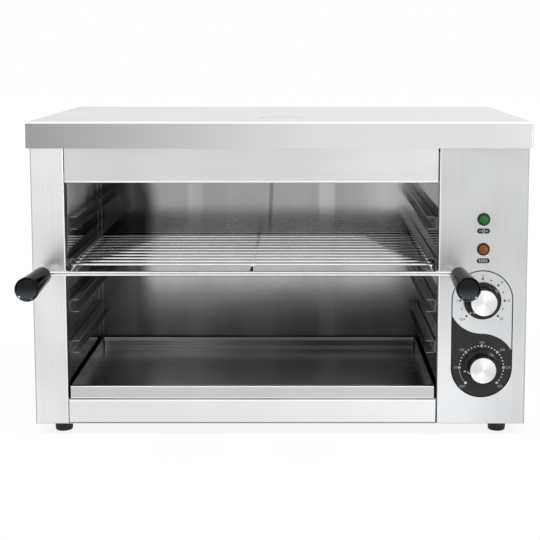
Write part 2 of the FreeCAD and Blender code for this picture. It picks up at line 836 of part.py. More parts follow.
# Timer: a boxed clockwork unit with a bush through the panel
half_unit = unit_width / 2
half_timer = timer_unit_height / 2
timer_back = panel_back + timer_unit_depth
timer_corners = [(control_middle - half_unit, timer_height - half_timer, unit_corner),
                 (control_middle + half_unit, timer_height - half_timer, unit_corner),
                 (control_middle + half_unit, timer_height + half_timer, unit_corner),
                 (control_middle - half_unit, timer_height + half_timer, unit_corner)]
timer_unit = prism("xz", timer_corners, panel_back, timer_back)
timer_bush = rod_y(control_middle, timer_height, bush_radius, ahead(bush_front), panel_back)
timer_unit = timer_unit.fuse([timer_bush] + tabs(timer_height, timer_back))
save("timer_unit", timer_unit.cut(unit_cuts(timer_height)))

# Thermostat: a round unit on a plate, with the same bush
half_plate = thermostat_plate_height / 2
thermostat_back = panel_back + thermostat_unit_depth
plate_corners = [(control_middle - half_unit, thermostat_height - half_plate, unit_corner),
                 (control_middle + half_unit, thermostat_height - half_plate, unit_corner),
                 (control_middle + half_unit, thermostat_height + half_plate, unit_corner),
                 (control_middle - half_unit, thermostat_height + half_plate, unit_corner)]
thermostat_unit = prism("xz", plate_corners, panel_back, panel_back + thermostat_plate)
thermostat_drum = rod_y(control_middle, thermostat_height, thermostat_unit_radius, panel_back,
                        thermostat_back)
thermostat_bush = rod_y(control_middle, thermostat_height, bush_radius, ahead(bush_front), panel_back)
thermostat_unit = thermostat_unit.fuse([thermostat_drum, thermostat_bush]
                                       + tabs(thermostat_height, thermostat_back))
save("thermostat_unit", thermostat_unit.cut(unit_cuts(thermostat_height)))


def control_screw(x, z):
    """A small screw that holds a control unit, hidden under the knob."""
    head = rod_y(x, z, control_screw_head_radius, ahead(control_screw_head), body_front)
    return head.fuse(rod_y(x, z, control_screw_radius, body_front, body_front + control_screw_length))


save("control_screws", *[control_screw(control_middle + side * control_screw_spread, z)
                         for z in control_heights for side in (-1, 1)])

# Knobs: a moulded body with a flared skirt, hollow underneath, and a spun cap let into its face
knob_foot_radius = skirt_radius - skirt_flare
knob_top_radius = knob_foot_radius - knob_taper
cap_radius = knob_top_radius - cap_margin
shaft_front = knob_height - cap_sheet - shaft_cover
hub_base = bush_front + knob_hub_gap
hollow_top = knob_height - cap_sheet - knob_wall
skirt_top = knob_gap + skirt_height
hollow_radius = knob_top_radius - knob_wall
knob_profile = [(0, hub_base, 0), (knob_hub_radius, hub_base, 0), (knob_hub_radius, hollow_top, 0),
                (hollow_radius, hollow_top, 0), (hollow_radius, skirt_top - knob_edge, 0),
                (skirt_radius - skirt_wall, skirt_top - knob_edge, 0),
                (skirt_radius - skirt_wall, knob_gap, 0), (skirt_radius, knob_gap, 0),
                (skirt_radius, skirt_top - knob_edge, knob_edge), (knob_foot_radius, skirt_top, knob_edge),
                (knob_top_radius, knob_height, knob_edge / 2),
                (cap_radius + cap_ease, knob_height, 0),
                (cap_radius + cap_ease, knob_height - cap_sheet, 0), (0, knob_height - cap_sheet, 0)]
cap_profile = [(0, knob_height - cap_sheet, 0), (cap_radius, knob_height - cap_sheet, 0),
               (cap_radius, knob_height, cap_dish / 2), (cap_radius - cap_sheet, knob_height, 0),
               (cap_radius - 2 * cap_sheet, knob_height - cap_dish, 0), (0, knob_height - cap_dish, 0)]
for name, z in (("timer", timer_height), ("thermostat", thermostat_height)):
    knob = turned(control_middle, z, ahead, knob_profile)
    bore = shaft_form(z, running_gap, 0, shaft_front, hub_base)
    save(name + "_knob", knob.cut(bore))
    save(name + "_knob_cap", turned(control_middle, z, ahead, cap_profile))
    save(name + "_shaft", shaft_form(z, 0, shaft_depth, shaft_front, hub_base))

# Signal lamps: a black housing with a ring behind the panel, and a domed lens
bezel_radius = lens_radius + bezel_rim
lamp_ring_radius = lamp_barrel_radius + lamp_ring_rim
ring_back = -sheet - lamp_ring_height
housing_profile = [(0, -lamp_barrel_length, 0), (lamp_barrel_radius, -lamp_barrel_length, 0),
                   (lamp_barrel_radius, ring_back, 0), (lamp_ring_radius, ring_back, 0),
                   (lamp_ring_radius, -sheet, 0), (lamp_barrel_radius, -sheet, 0),
                   (lamp_barrel_radius, 0, 0), (bezel_radius, 0, 0),
                   (bezel_radius, bezel_height, bezel_floor), (lens_radius + lens_ease, bezel_height, 0),
                   (lens_radius + lens_ease, bezel_floor, 0), (0, bezel_floor, 0)]
lens_shoulder = bezel_floor + lens_rim
lens_top = lens_shoulder + lens_crown
dome_ball = (lens_radius ** 2 + lens_crown ** 2) / (2 * lens_crown)
dome_angle = math.asin(lens_radius / dome_ball)
for name, z in (("power", power_lamp_height), ("heat", heat_lamp_height)):
    save(name + "_lamp_housing", turned(control_middle, z, ahead, housing_profile))
    dome_start = Vector(control_middle + lens_radius, ahead(lens_shoulder), z)
    dome_middle = Vector(control_middle + dome_ball * math.sin(dome_angle / 2),
                         ahead(lens_top - dome_ball * (1 - math.cos(dome_angle / 2))), z)
    dome_end = Vector(control_middle, ahead(lens_top), z)
    lens_axis_foot = Vector(control_middle, ahead(bezel_floor), z)
    lens_edge_foot = Vector(control_middle + lens_radius, ahead(bezel_floor), z)
    lens_wire = Part.Wire([Part.makeLine(lens_axis_foot, lens_edge_foot),
                           Part.makeLine(lens_edge_foot, dome_start),
                           Part.Arc(dome_start, dome_middle, dome_end).toShape(),
                           Part.makeLine(dome_end, lens_axis_foot)])
    lens = Part.Face(lens_wire).revolve(Vector(control_middle, 0, z), Vector(0, 1, 0), 360)
    save(name + "_lamp_lens", lens)

# Wire rack: three rods from front to back, with eleven wires welded across them
rod_left = cavity_left + guide_sheet + rack_rod_wall_gap + rack_rod_radius
rod_right = cavity_right - guide_sheet - rack_rod_wall_gap - rack_rod_radius
rod_z_height = guide_bottoms[guides_above_rack_count] + guide_sheet + slide_gap + rack_rod_radius
bar_y = body_front - rack_bar_standoff
rack_back = cavity_back - rack_back_gap
wire_z = rod_z_height + rack_rod_radius + rack_wire_radius - weld_sink
rack_parts = []
for x in (rod_left, (rod_left + rod_right) / 2, rod_right):
    rack_parts.append(rod_y(x, rod_z_height, rack_rod_radius, bar_y + rack_bar_radius,
                            rack_back + rack_rod_tail))
for y in spread(body_front + rack_first_wire, rack_back, rack_wire_count):
    rack_parts.append(rod_x(y, wire_z, rack_wire_radius, rod_left, rod_right))
save("rack_grid", rack_parts[0].fuse(rack_parts[1:]))

# Front bar: lies across the front of the cabinet, and its two ends turn forward into the handles
handle_left = cavity_middle - handle_half_span
handle_right = cavity_middle + handle_half_span
root_y = bar_y - rack_elbow - handle_root_gap
bar_end = root_y - handle_grip_depth
bar_points = [Vector(handle_left, bar_end, rod_z_height), Vector(handle_left, bar_y, rod_z_height),
              Vector(handle_right, bar_y, rod_z_height), Vector(handle_right, bar_end, rod_z_height)]
save("rack_front_bar", bent_rod(bar_points, rack_elbow, rack_bar_radius))


def from_root(h):
    """Y of a place that lies h along a handle from its root."""
    return root_y - h


# Handles: glossy turned grips that widen to a dished end with a thin rim
handle_bore = rack_bar_radius + handle_bore_ease
dish_radius = handle_end_radius - handle_rim
handle_profile = [(handle_bore, 0, 0), (handle_root_radius, 0, handle_shoulder),
                  (handle_end_radius, handle_length, handle_end_round),
                  (dish_radius, handle_length, 0),
                  (dish_radius - handle_rim, handle_length - handle_dish, handle_rim / 2),
                  (0, handle_length - handle_dish, 0),
                  (0, handle_grip_depth, 0), (handle_bore, handle_grip_depth, 0)]
for node, x in (("rack_handle_left", handle_left), ("rack_handle_right", handle_right)):
    save(node, turned(x, rod_z_height, from_root, handle_profile))

# Drip tray: a shallow pan with a boxed front lip, which slides on the cavity floor
tray_left = cavity_left + tray_side_gap
tray_right = cavity_right - tray_side_gap
tray_bottom = floor_top + slide_gap
tray_top = tray_bottom + tray_height
tray_back = cavity_back - tray_back_gap
pan_front = body_front + tray_lip - tray_sheet
half_tray_sheet = tray_sheet / 2
pan = block(tray_left, tray_right, pan_front, tray_back, tray_bottom, tray_top)


def is_pan_corner(edge, middle):
    return near(middle.z, (tray_bottom + tray_top) / 2)


pan = round_edges(pan, tray_corner, is_pan_corner)
well = block(tray_left + tray_sheet, tray_right - tray_sheet, pan_front + tray_sheet,
             tray_back - tray_sheet, tray_bottom + tray_sheet, tray_top + tray_sheet)
well = round_edges(well, tray_corner - tray_sheet, lambda edge, middle: near(
    middle.z, tray_bottom + tray_sheet + tray_height / 2))
lip_path = [(body_front + tray_lip, tray_top - half_tray_sheet),
            (body_front + half_tray_sheet, tray_top - half_tray_sheet),
            (body_front + half_tray_sheet, tray_bottom + half_tray_sheet),
            (body_front + tray_lip, tray_bottom + half_tray_sheet)]
lip = folded("yz", lip_path, tray_sheet, bend, tray_left, tray_right)
save("drip_tray", pan.cut(well).fuse(lip).removeSplitter())
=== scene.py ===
import bpy
import math
from mathutils import Matrix, Vector


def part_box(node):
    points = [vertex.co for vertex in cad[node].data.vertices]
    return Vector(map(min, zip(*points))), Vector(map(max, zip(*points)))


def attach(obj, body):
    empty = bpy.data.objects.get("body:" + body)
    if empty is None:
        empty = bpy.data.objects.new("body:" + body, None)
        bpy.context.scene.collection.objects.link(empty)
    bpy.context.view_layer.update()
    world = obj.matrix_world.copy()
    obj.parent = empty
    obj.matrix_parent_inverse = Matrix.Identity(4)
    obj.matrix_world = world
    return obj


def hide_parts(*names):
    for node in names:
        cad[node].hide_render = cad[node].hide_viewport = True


# A cheese melter on a pale floor, dressed in the order in which it is put together. Metres, with
# X to the right seen from the front, Y to the back and Z up. Each section is one piece, or one
# group of like pieces, with its own sizes, finish and place.

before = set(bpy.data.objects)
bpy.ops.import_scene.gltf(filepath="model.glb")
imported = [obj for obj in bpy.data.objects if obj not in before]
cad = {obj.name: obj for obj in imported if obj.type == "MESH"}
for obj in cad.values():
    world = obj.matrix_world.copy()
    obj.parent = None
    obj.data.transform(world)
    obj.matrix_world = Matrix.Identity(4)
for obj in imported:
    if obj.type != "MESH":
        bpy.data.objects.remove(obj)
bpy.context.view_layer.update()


# ---------------------------------------------------------------------------------------------
# Base plate: a flat stainless sheet with vent slots that closes the cabinet from below. Its
# brushed sheet finish is the one that all the folded sheets of the body share.


def add_node(tree, kind, settings, sockets, output=0):
    """Adds a node, sets it up, then fills its sockets with values or links."""
    node = tree.nodes.new(kind)
    for name, setting in settings.items():
        if name == "stops":
            for place, colour in setting[1:-1]:
                node.color_ramp.elements.new(place)
            for element, (place, colour) in zip(node.color_ramp.elements, setting):
                element.position = place
                element.color = colour
        else:
            setattr(node, name, setting)
    for key, given in sockets.items():
        if isinstance(given, Value):
            tree.links.new(given.socket, node.inputs[key])
        else:
            node.inputs[key].default_value = given
    return Value(node.outputs[output])


class Value:
    """One socket of a finish or a pattern, on which sums are written as on paper."""

    def __init__(self, socket):
        self.socket = socket
        self.tree = socket.id_data

    def make(self, kind, settings, sockets, output=0):
        return add_node(self.tree, kind, settings, sockets, output)

    def apply(self, operation, *others):
        """One operation on this value, or on this value and others."""
        return self.make("ShaderNodeMath", {"operation": operation},
                         dict(enumerate([self, *others])))

    def vector(self, operation, *others, output=0):
        """The same for a vector."""
        return self.make("ShaderNodeVectorMath", {"operation": operation},
                         dict(enumerate([self, *others])), output)

    def __add__(self, other):
        return self.apply("ADD", other)

    def __sub__(self, other):
        return self.apply("SUBTRACT", other)

    def __rsub__(self, other):
        return self.make("ShaderNodeMath", {"operation": "SUBTRACT"}, {0: other, 1: self})

    def __mul__(self, other):
        return self.apply("MULTIPLY", other)

    def __truediv__(self, other):
        return self.apply("DIVIDE", other)

    def __abs__(self):
        return self.apply("ABSOLUTE")

    def ease(self, start, end):
        """0 before start and 1 past end, with a soft step between them."""
        return self.make("ShaderNodeMapRange", {"interpolation_type": "SMOOTHSTEP"},
                         {0: self, 1: start, 2: end, 3: 0.0, 4: 1.0})

    def axes(self):
        """The X, Y and Z of a vector."""
        first = self.make("ShaderNodeSeparateXYZ", {}, {0: self})
        return [Value(out) for out in first.socket.node.outputs]

    def blend(self, under, over):
        """Two colours mixed, with this value as the share of the second."""
        return self.make("ShaderNodeMix", {"data_type": "RGBA"}, {0: self, 6: under, 7: over}, 2)

    def noise(self, stretch, detail=2.0):
        """Grey noise at this place, with a number of grains per metre along each axis."""
        place = self.vector("MULTIPLY", stretch)
        return self.make("ShaderNodeTexNoise", {}, {"Vector": place, "Scale": 1.0,
                                                    "Detail": detail})

    def relief(self, height, strength, distance):
        """A normal on which another value, height, stands out as fine relief."""
        return self.make("ShaderNodeBump", {}, {"Strength": strength, "Distance": distance,
                                                "Height": height})


def rgb(red, green, blue):
    """A plain colour from its three shares."""
    return (red, green, blue, 1.0)


def grey(level, warmth=0.0):
    """A neutral colour, a little warmer or colder."""
    return (level * (1 + warmth), level, level * (1 - warmth), 1.0)


def new_finish(name, metal, rough, **constants):
    """A new material, its shader and the place on the piece."""
    material = bpy.data.materials.new(name)
    material.use_nodes = True
    shader = material.node_tree.nodes["Principled BSDF"]
    shader.inputs["Metallic"].default_value = metal
    shader.inputs["Roughness"].default_value = rough
    for key, given in constants.items():
        shader.inputs[key.replace("_", " ")].default_value = given
    place = add_node(material.node_tree, "ShaderNodeTexCoord", {}, {}, 3)
    return material, shader, place


def feed(shader, **values):
    """Links what changes over the surface to the shader's sockets."""
    for key, given in values.items():
        given.tree.links.new(given.socket, shader.inputs[key.replace("_", " ")])


def dress(material, *names):
    """Gives CAD pieces a finish."""
    for name in names:
        for place in cad[name].material_slots:
            place.material = material


def painted_edge_line(axis, places, reach):
    """1 on each painted edge line, light or dark, along a fold or cut edge, and 0 a little away
    from it.
    """
    total = None
    for place in places:
        line = 1 - abs(axis - place).ease(reach * 0.4, reach)
        total = line if total is None else total.apply("MAXIMUM", line)
    return total


x_axis, y_axis, z_axis = 0, 1, 2
grain_along, grain_across = 14.0, 1500.0
streak_along, streak_across = 2.5, 70.0


def brushed_sheet(name, dull, bright, grain, rough, edges=(), painted_sheens=()):
    """Stainless sheet with its grain along one axis, and painted highlight and shade lines on folds
    and edges.

    Each edge is (axis, places, reach, level): a painted highlight or painted shade line. Each sheen
    is (axis, start, end, shade before, shade past): a broad painted change of tone along the sheet,
    standing in for reflected light."""
    material, shader, place = new_finish(name, 1.0, rough)
    fine = place.noise(tuple(grain_along if i == grain else grain_across for i in range(3)))
    streaks = place.noise(tuple(streak_along if i == grain else streak_across for i in range(3)))
    cloud = place.noise((6.0, 6.0, 6.0), 3.0)
    shade = fine * 0.2 + streaks * 0.1 + cloud * 0.7
    colour = shade.ease(0.3, 0.7).blend(dull, bright)
    axes = place.axes()
    # Broad painted sheens, standing in for reflected light.
    for axis, start, end, before, past in painted_sheens:
        tone = axes[axis].ease(start, end).blend(grey(before), grey(past))
        colour = tone.vector("MULTIPLY", colour)
    # Painted highlight and painted shade lines along folds and edges.
    for axis, places, reach, level in edges:
        colour = painted_edge_line(axes[axis], places, reach).blend(colour, grey(level))
    feed(shader, Base_Color=colour, Roughness=fine * 0.10 + cloud * 0.06 + (rough - 0.08),
         Normal=place.relief(fine, 0.12, 0.00004))
    return material


dress(brushed_sheet("base_sheet", grey(0.52), grey(0.60), x_axis, 0.34), "base_plate")

# ---------------------------------------------------------------------------------------------
# Feet: four tapered black rubber feet, moulded, with a plated screw up through the recess of
# each and a nut on the base plate.

foot_rubber, shader, place = new_finish("foot_rubber", 0.0, 0.62, Specular_IOR_Level=0.35)
skin = place.noise((900.0, 900.0, 900.0), 3.0)
dust = place.noise((60.0, 60.0, 25.0), 4.0).ease(0.5, 0.8)
scuffed = dust * (1 - place.axes()[2].ease(0.0, 0.006)) * 0.6
feed(shader, Base_Color=scuffed.blend(grey(0.012), grey(0.045)), Roughness=skin * 0.2 + 0.52,
     Normal=place.relief(skin, 0.25, 0.0001))
dress(foot_rubber, "foot_front_left", "foot_front_right", "foot_rear_left", "foot_rear_right")


def speckled(name, metal, grains, detail, step, dark, light, rough, relief=None, **constants):
    """A finish whose tone, gloss and skin change with one fine noise.

    The step is where the noise turns from dark to light, rough is (least, span), and relief is
    (strength, depth)."""
    material, shader, place = new_finish(name, metal, rough[0], **constants)
    fine = place.noise(grains, detail)
    feed(shader, Base_Color=fine.ease(*step).blend(dark, light),
         Roughness=fine * rough[1] + rough[0])
    if relief:
        feed(shader, Normal=place.relief(fine, *relief))
    return material


plated = speckled("plated_screws", 1.0, (500.0, 500.0, 500.0), 2.0, (0.35, 0.7),
                  grey(0.48), grey(0.62, 0.02), (0.2, 0.2))
dress(plated, "foot_screws", "control_screws")

# ---------------------------------------------------------------------------------------------
# Side panels: one sheet each, brushed upwards. The left one wraps round the front as the column
# and turns into the cavity. Its bend carries a painted highlight, its outer edge a painted shade
# line, it is painted lighter towards the bottom, and its return into the cavity is painted dark
# as shade.

left_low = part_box("left_side_panel")[0]
column_edge = left_low.x + 0.0398
fold_reach = 0.0016
cut_inset = 0.0004
# Painted shade line on the outer edge, painted highlight on the bend, lighter towards the bottom.
left_sheet = brushed_sheet("left_side_sheet", grey(0.66, -0.01), grey(0.84, -0.01), z_axis, 0.32,
                           [(x_axis, [left_low.x + cut_inset], fold_reach, 0.42),
                            (x_axis, [column_edge], fold_reach, 0.92)],
                           [(z_axis, 0.09, 0.03, 1.0, 1.10)])
dress(left_sheet, "left_side_panel")
shader = left_sheet.node_tree.nodes["Principled BSDF"]
outer = Value(shader.inputs["Base Color"].links[0].from_socket)
place = add_node(left_sheet.node_tree, "ShaderNodeTexCoord", {}, {}, 3)
across, depth, height = place.axes()
# The sheet's return into the cavity is painted dark as shade.
painted_return_shade = (depth.ease(left_low.y + 0.0008, left_low.y + 0.0022)
             * across.ease(column_edge - 0.0010, column_edge - 0.0004))
feed(shader, Base_Color=painted_return_shade.blend(outer, grey(0.14)))
dress(brushed_sheet("right_side_sheet", grey(0.62, -0.01), grey(0.74, -0.01), z_axis, 0.32),
      "right_side_panel")

# ---------------------------------------------------------------------------------------------
# Cavity lining: a stainless box, in darker tones than the outer sheet. The back wall is painted in
# reflected light and shade: dark as shade above the tray and towards its left corner, lighter
# higher up and towards the right, with painted reflection bands and lines. The side walls are
# painted darker as shade on the right and along the bottom, and the top of the left one carries a
# painted pale patch of reflected light.

band_left, dark_line_x, band_right = -0.122, -0.019, 0.062
dark_past, corner_x = -0.172, -0.2535
back_finish, shader, place = new_finish("back_wall_lining", 1.0, 0.2)
across, depth, height = place.axes()
streak = place.noise((22.0, 2.0, 1.0), 2.0)
haze = place.noise((7.0, 7.0, 10.0), 3.0)
waver = (haze - 0.5) * 0.05
# Painted shade and reflection: dark low on the wall and lighter above, then toned across it.
upper = height.ease(0.18, 0.25)
lit = (height + waver).ease(0.055, 0.18)
seen = lit.blend(grey(0.085), grey(0.52, -0.01))
seen = (upper * 0.6).blend(seen, grey(0.18, -0.01))
seen = (across.ease(0.02, 0.22) * upper * 0.7).blend(seen, grey(0.375))
seen = (across.ease(0.10, 0.15) * upper * 0.35).blend(seen, grey(0.62))
seen = (across.ease(-0.06, 0.04) * (1 - lit) * 0.7).blend(seen, grey(0.06))
# Painted reflection bands, and a painted dark reflection line.
right_band = 1 - abs(across - band_right).ease(0.008, 0.014)
left_band = 1 - abs(across - band_left).ease(0.006, 0.014)
seen = ((right_band + left_band * 0.6) * (upper * 0.3 + 0.04)).blend(seen, grey(0.7))
dark_reflection_line = 1 - abs(across - dark_line_x - (height - 0.2) * 0.05).ease(0.0008, 0.004)
seen = (dark_reflection_line * upper * 0.6).blend(seen, grey(0.08))
# Painted shade towards the left corner.
left_dark = 1 - (across + waver).ease(dark_past - 0.031, dark_past)
seen = (left_dark * (lit * 0.46 + 0.5)).blend(seen, grey(0.012))
seen = (streak.ease(0.35, 0.75) * 0.25).blend(seen, grey(0.20))
# A painted highlight line along the corner.
corner = 1 - abs(across - corner_x).ease(0.0004, 0.0014)
seen = (corner * 0.35).blend(seen, grey(0.35))
feed(shader, Base_Color=seen,
     Roughness=haze * 0.10 + 0.08 + (1 - height.ease(0.10, 0.18)) * 0.22)
dress(back_finish, "cavity_back_wall")

lining, shader, place = new_finish("side_lining", 1.0, 0.1)
across, depth, height = place.axes()
haze = place.noise((14.0, 10.0, 22.0), 4.0)
wipe = place.noise((60.0, 3.0, 160.0), 3.0)
on_right = across.ease(-0.1, 0.1)
# A painted pale patch standing in for reflected light at the top front of the left wall, made
# matt so that the lamps light it.
painted_pale_patch = (height * 4.0 - depth + (haze - 0.5) * 0.3).ease(0.90, 1.18) * (1 - on_right)
seen = (haze * 0.6 + wipe * 0.4).ease(0.3, 0.75).blend(grey(0.24), grey(0.40))
# Painted shade: darker on the right wall and along the bottom.
seen = (on_right * 0.8).blend(seen, grey(0.06))
seen = ((1 - height.ease(0.058, 0.085)) * 0.65).blend(seen, grey(0.055))
seen = painted_pale_patch.blend(seen, grey(0.97, -0.03))
feed(shader, Base_Color=seen, Metallic=1 - painted_pale_patch * 0.9,
     Roughness=wipe * 0.03 + 0.012 + painted_pale_patch * 0.2)
dress(lining, "left_cavity_wall", "right_cavity_wall")

dress(speckled("heat_stained_lining", 1.0, (12.0, 12.0, 12.0), 5.0, (0.3, 0.7),
               rgb(0.24, 0.21, 0.18), grey(0.42), (0.2, 0.3)), "cavity_ceiling", "cavity_floor")
dress(speckled("insulation_wool", 0.0, (260.0, 260.0, 260.0), 6.0, (0.3, 0.7),
               rgb(0.46, 0.41, 0.27), rgb(0.70, 0.66, 0.50), (0.95, 0.0), (0.8, 0.002)),
      "ceiling_insulation")

# ---------------------------------------------------------------------------------------------
# Rack guides: four pairs of stainless channels, folded and spot welded to the side walls. They
# are nearly as dark as the walls, painted darker still on the right as shade, and their sheared
# front ends are painted as thin grey highlight outlines.

guide_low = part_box("rack_guide_left_1")[0]
guide_finish, shader, place = new_finish("guide_channels", 1.0, 0.24)
across, depth, height = place.axes()
wipe = place.noise((200.0, 6.0, 200.0), 3.0)
seen = wipe.ease(0.3, 0.75).blend(grey(0.26), grey(0.46))
# Painted shade on the right-hand guides.
seen = (across.ease(-0.1, 0.1) * 0.6).blend(seen, grey(0.10))
# The sheared front ends are painted as thin grey highlight outlines.
sheared = 1 - depth.ease(guide_low.y + 0.0004, guide_low.y + 0.0009)
feed(shader, Base_Color=sheared.blend(seen, grey(0.19)), Metallic=sheared * 0.3 + 0.7,
     Roughness=wipe * 0.15 + 0.14)
dress(guide_finish, *["rack_guide_%s_%d" % (side, level) for side in ("left", "right")
                      for level in (1, 2, 3, 4)])

# ---------------------------------------------------------------------------------------------
# Heating elements: two tubular hairpins in heat-darkened steel, on two plain steel hangers. The
# thermostat's copper bulb lies beside them in two spring clips.

dress(speckled("element_tube", 1.0, (120.0, 300.0, 300.0), 4.0, (0.35, 0.7),
               rgb(0.055, 0.045, 0.042), rgb(0.15, 0.12, 0.10), (0.35, 0.3), (0.3, 0.0001)),
      "front_heating_element", "rear_heating_element")
dress(brushed_sheet("hanger_strip", grey(0.16), grey(0.30), y_axis, 0.4),
      "element_hangers", "bulb_clips")
dress(speckled("sensor_copper", 1.0, (220.0, 120.0, 220.0), 4.0, (0.4, 0.65),
               rgb(0.62, 0.32, 0.19), rgb(0.30, 0.17, 0.12), (0.2, 0.3)), "thermostat_bulb")

# ---------------------------------------------------------------------------------------------
# Header and bottom rail: two folded stainless strips over and under the opening, brushed along
# their length, each with a painted highlight along its hemmed edge and a painted sheen that grows
# lighter towards the right, as reflected light.

header_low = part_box("front_header")[0]
# Painted highlight on each hemmed edge, and a painted sheen lighter towards the right.
dress(brushed_sheet("header_sheet", grey(0.64, -0.01), grey(0.74, -0.01), x_axis, 0.32,
                    [(z_axis, [header_low.z + 0.0006], 0.0026, 0.97)],
                    [(x_axis, -0.10, 0.18, 0.90, 1.06)]), "front_header")
rail_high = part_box("bottom_rail")[1]
dress(brushed_sheet("rail_sheet", grey(0.77, -0.01), grey(0.84, -0.01), x_axis, 0.32,
                    [(z_axis, [rail_high.z - cut_inset], 0.0018, 0.97)],
                    [(x_axis, 0.0, 0.19, 1.0, 1.06)]), "bottom_rail")

# ---------------------------------------------------------------------------------------------
# Timer and thermostat units and the terminal block: pale moulded cases inside the cabinet, and
# turned steel shafts that come out through the panel.

dress(speckled("unit_case", 0.0, (400.0, 400.0, 400.0), 3.0, (0.3, 0.7),
               rgb(0.66, 0.65, 0.60), rgb(0.76, 0.75, 0.70), (0.4, 0.2), (0.2, 0.0001)),
      "timer_unit", "thermostat_unit", "terminal_block")
dress(speckled("turned_shaft", 1.0, (30.0, 2200.0, 30.0), 2.0, (0.3, 0.7),
               grey(0.45), grey(0.6), (0.15, 0.2)), "timer_shaft", "thermostat_shaft")

# ---------------------------------------------------------------------------------------------
# Control panel: a flat stainless face, brushed upwards and handled a good deal, so its sheen is
# cloudy. Its edge beside the opening carries a painted highlight and its outer edge a painted
# shade line, and it is painted lighter towards the bottom and towards the opening, as reflected
# light.

panel_low, panel_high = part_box("control_panel")
panel_y = panel_low.y
# Painted highlight by the opening, painted shade line on the outer edge, and painted sheens.
dress(brushed_sheet("panel_sheet", grey(0.55, -0.02), grey(0.68, -0.02), z_axis, 0.38,
                    [(x_axis, [panel_low.x + 0.0003], fold_reach, 0.95),
                     (x_axis, [panel_high.x - cut_inset], fold_reach, 0.45)],
                    [(z_axis, 0.26, 0.03, 0.90, 1.16),
                     (x_axis, panel_low.x, panel_high.x, 1.07, 0.89)]), "control_panel")

# ---------------------------------------------------------------------------------------------
# Dial print: ink on the panel round the two knobs. A thin line in the shape of a running track
# holds both dials, and its lower part is filled black up to a line curved like an S.


def middle_of(name):
    """The middle of a CAD piece's box."""
    low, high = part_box(name)
    return (low + high) / 2


timer_middle, thermostat_middle = middle_of("timer_knob"), middle_of("thermostat_knob")
dial_x, timer_z, thermostat_z = timer_middle.x, timer_middle.z, thermostat_middle.z
ink = 0.00008
track_radius = 0.0370
track_line = 0.0013
upper_curve = 0.0404
lower_curve = timer_z - thermostat_z - upper_curve
hidden_hole = 0.0185


def flat_ink(name, colour, rough, slot):
    """Printed ink of one colour, a little uneven."""
    shade = tuple(part * 0.85 for part in colour[:3]) + (1.0,)
    return speckled(name, 0.0, (1500.0, 1500.0, 1500.0), 2.0, (0.35, 0.7), shade, colour,
                    (rough - 0.05, 0.1), Specular_IOR_Level=0.25), slot


black_ink = flat_ink("black_ink", rgb(0.029, 0.029, 0.031), 0.42, "bezel_black")
white_ink = flat_ink("white_ink", rgb(0.95, 0.95, 0.96), 0.5, "terminal_white")
soft_white_ink = flat_ink("soft_white_ink", rgb(0.50, 0.50, 0.51), 0.5, "terminal_white")
grey_ink = flat_ink("grey_ink", rgb(0.13, 0.13, 0.14), 0.5, "bezel_black")


def arc(x, z, radius, first, last, steps=48):
    """Points of an arc, with its angles in degrees clockwise from the top."""
    angles = [math.radians(first + (last - first) * i / steps) for i in range(steps + 1)]
    return [(x + radius * math.sin(a), z + radius * math.cos(a)) for a in angles]


def band(points, width):
    """The outline of a line of some width through the points."""
    left, right = [], []
    for i, (x, z) in enumerate(points):
        x0, z0 = points[max(i - 1, 0)]
        x1, z1 = points[min(i + 1, len(points) - 1)]
        length = math.hypot(x1 - x0, z1 - z0)
        across, up = -(z1 - z0) / length * width / 2, (x1 - x0) / length * width / 2
        left.append((x + across, z + up))
        right.append((x - across, z - up))
    return left + right[::-1]


def printed(name, outlines, ink_of, front=panel_y, body="cabinet"):
    """A thin flat piece on the panel, filled inside its outlines. One within another is a hole."""
    curve = bpy.data.curves.new(name, "CURVE")
    curve.dimensions = "2D"
    curve.fill_mode = "BOTH"
    curve.extrude = ink / 2
    for outline in outlines:
        spline = curve.splines.new("POLY")
        spline.points.add(len(outline) - 1)
        spline.use_cyclic_u = True
        for point, (x, z) in zip(spline.points, outline):
            point.co = (x, z, 0.0, 1.0)
    placed(name, curve, ink_of, front, body)


def placed(name, curve, ink_of, front, body):
    """Turns a flat curve or text into a mesh that stands on the panel, and lets it ride."""
    maker = bpy.data.objects.new(name, curve)
    bpy.context.scene.collection.objects.link(maker)
    seen = maker.evaluated_get(bpy.context.evaluated_depsgraph_get())
    mesh = bpy.data.meshes.new_from_object(seen)
    bpy.data.objects.remove(maker)
    mesh.transform(Matrix.Translation((0.0, front - ink / 2, 0.0))
                   @ Matrix.Rotation(math.pi / 2, 4, "X"))
    mesh.materials.clear()
    mesh.materials.append(ink_of[0])
    piece = bpy.data.objects.new(name, mesh)
    bpy.context.scene.collection.objects.link(piece)
    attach(piece, body)
    return piece


def track(radius):
    """The outline of the running track round both dials."""
    return arc(dial_x, timer_z, radius, -90, 90) + arc(dial_x, thermostat_z, radius, 90, 270)


printed("dial_print_line", [track(track_radius), track(track_radius - track_line)], black_ink)
meets_left = math.degrees(math.asin(track_radius / upper_curve))
meets_right = math.degrees(math.asin(track_radius / lower_curve))
black_field = (arc(dial_x, timer_z, upper_curve, 180 + meets_left, 180)
               + arc(dial_x, thermostat_z, lower_curve, 0, meets_right)
               + arc(dial_x, thermostat_z, track_radius, 90, 270))
printed("dial_print_field", [black_field, arc(dial_x, thermostat_z, hidden_hole, 0, 354, 59)],
        black_ink)

# ---------------------------------------------------------------------------------------------
# Dial scales: dots and numbers in ink. The timer reads in minutes and the thermostat in degrees,
# both from OFF at the lower left, clockwise.

dot_ring = 0.0267
dot_front = panel_y - 1.6 * ink
timer_dot, thermostat_dot, small_dot = 0.0013, 0.0016, 0.0008
scale_line = 0.0004
number_size = 0.0042


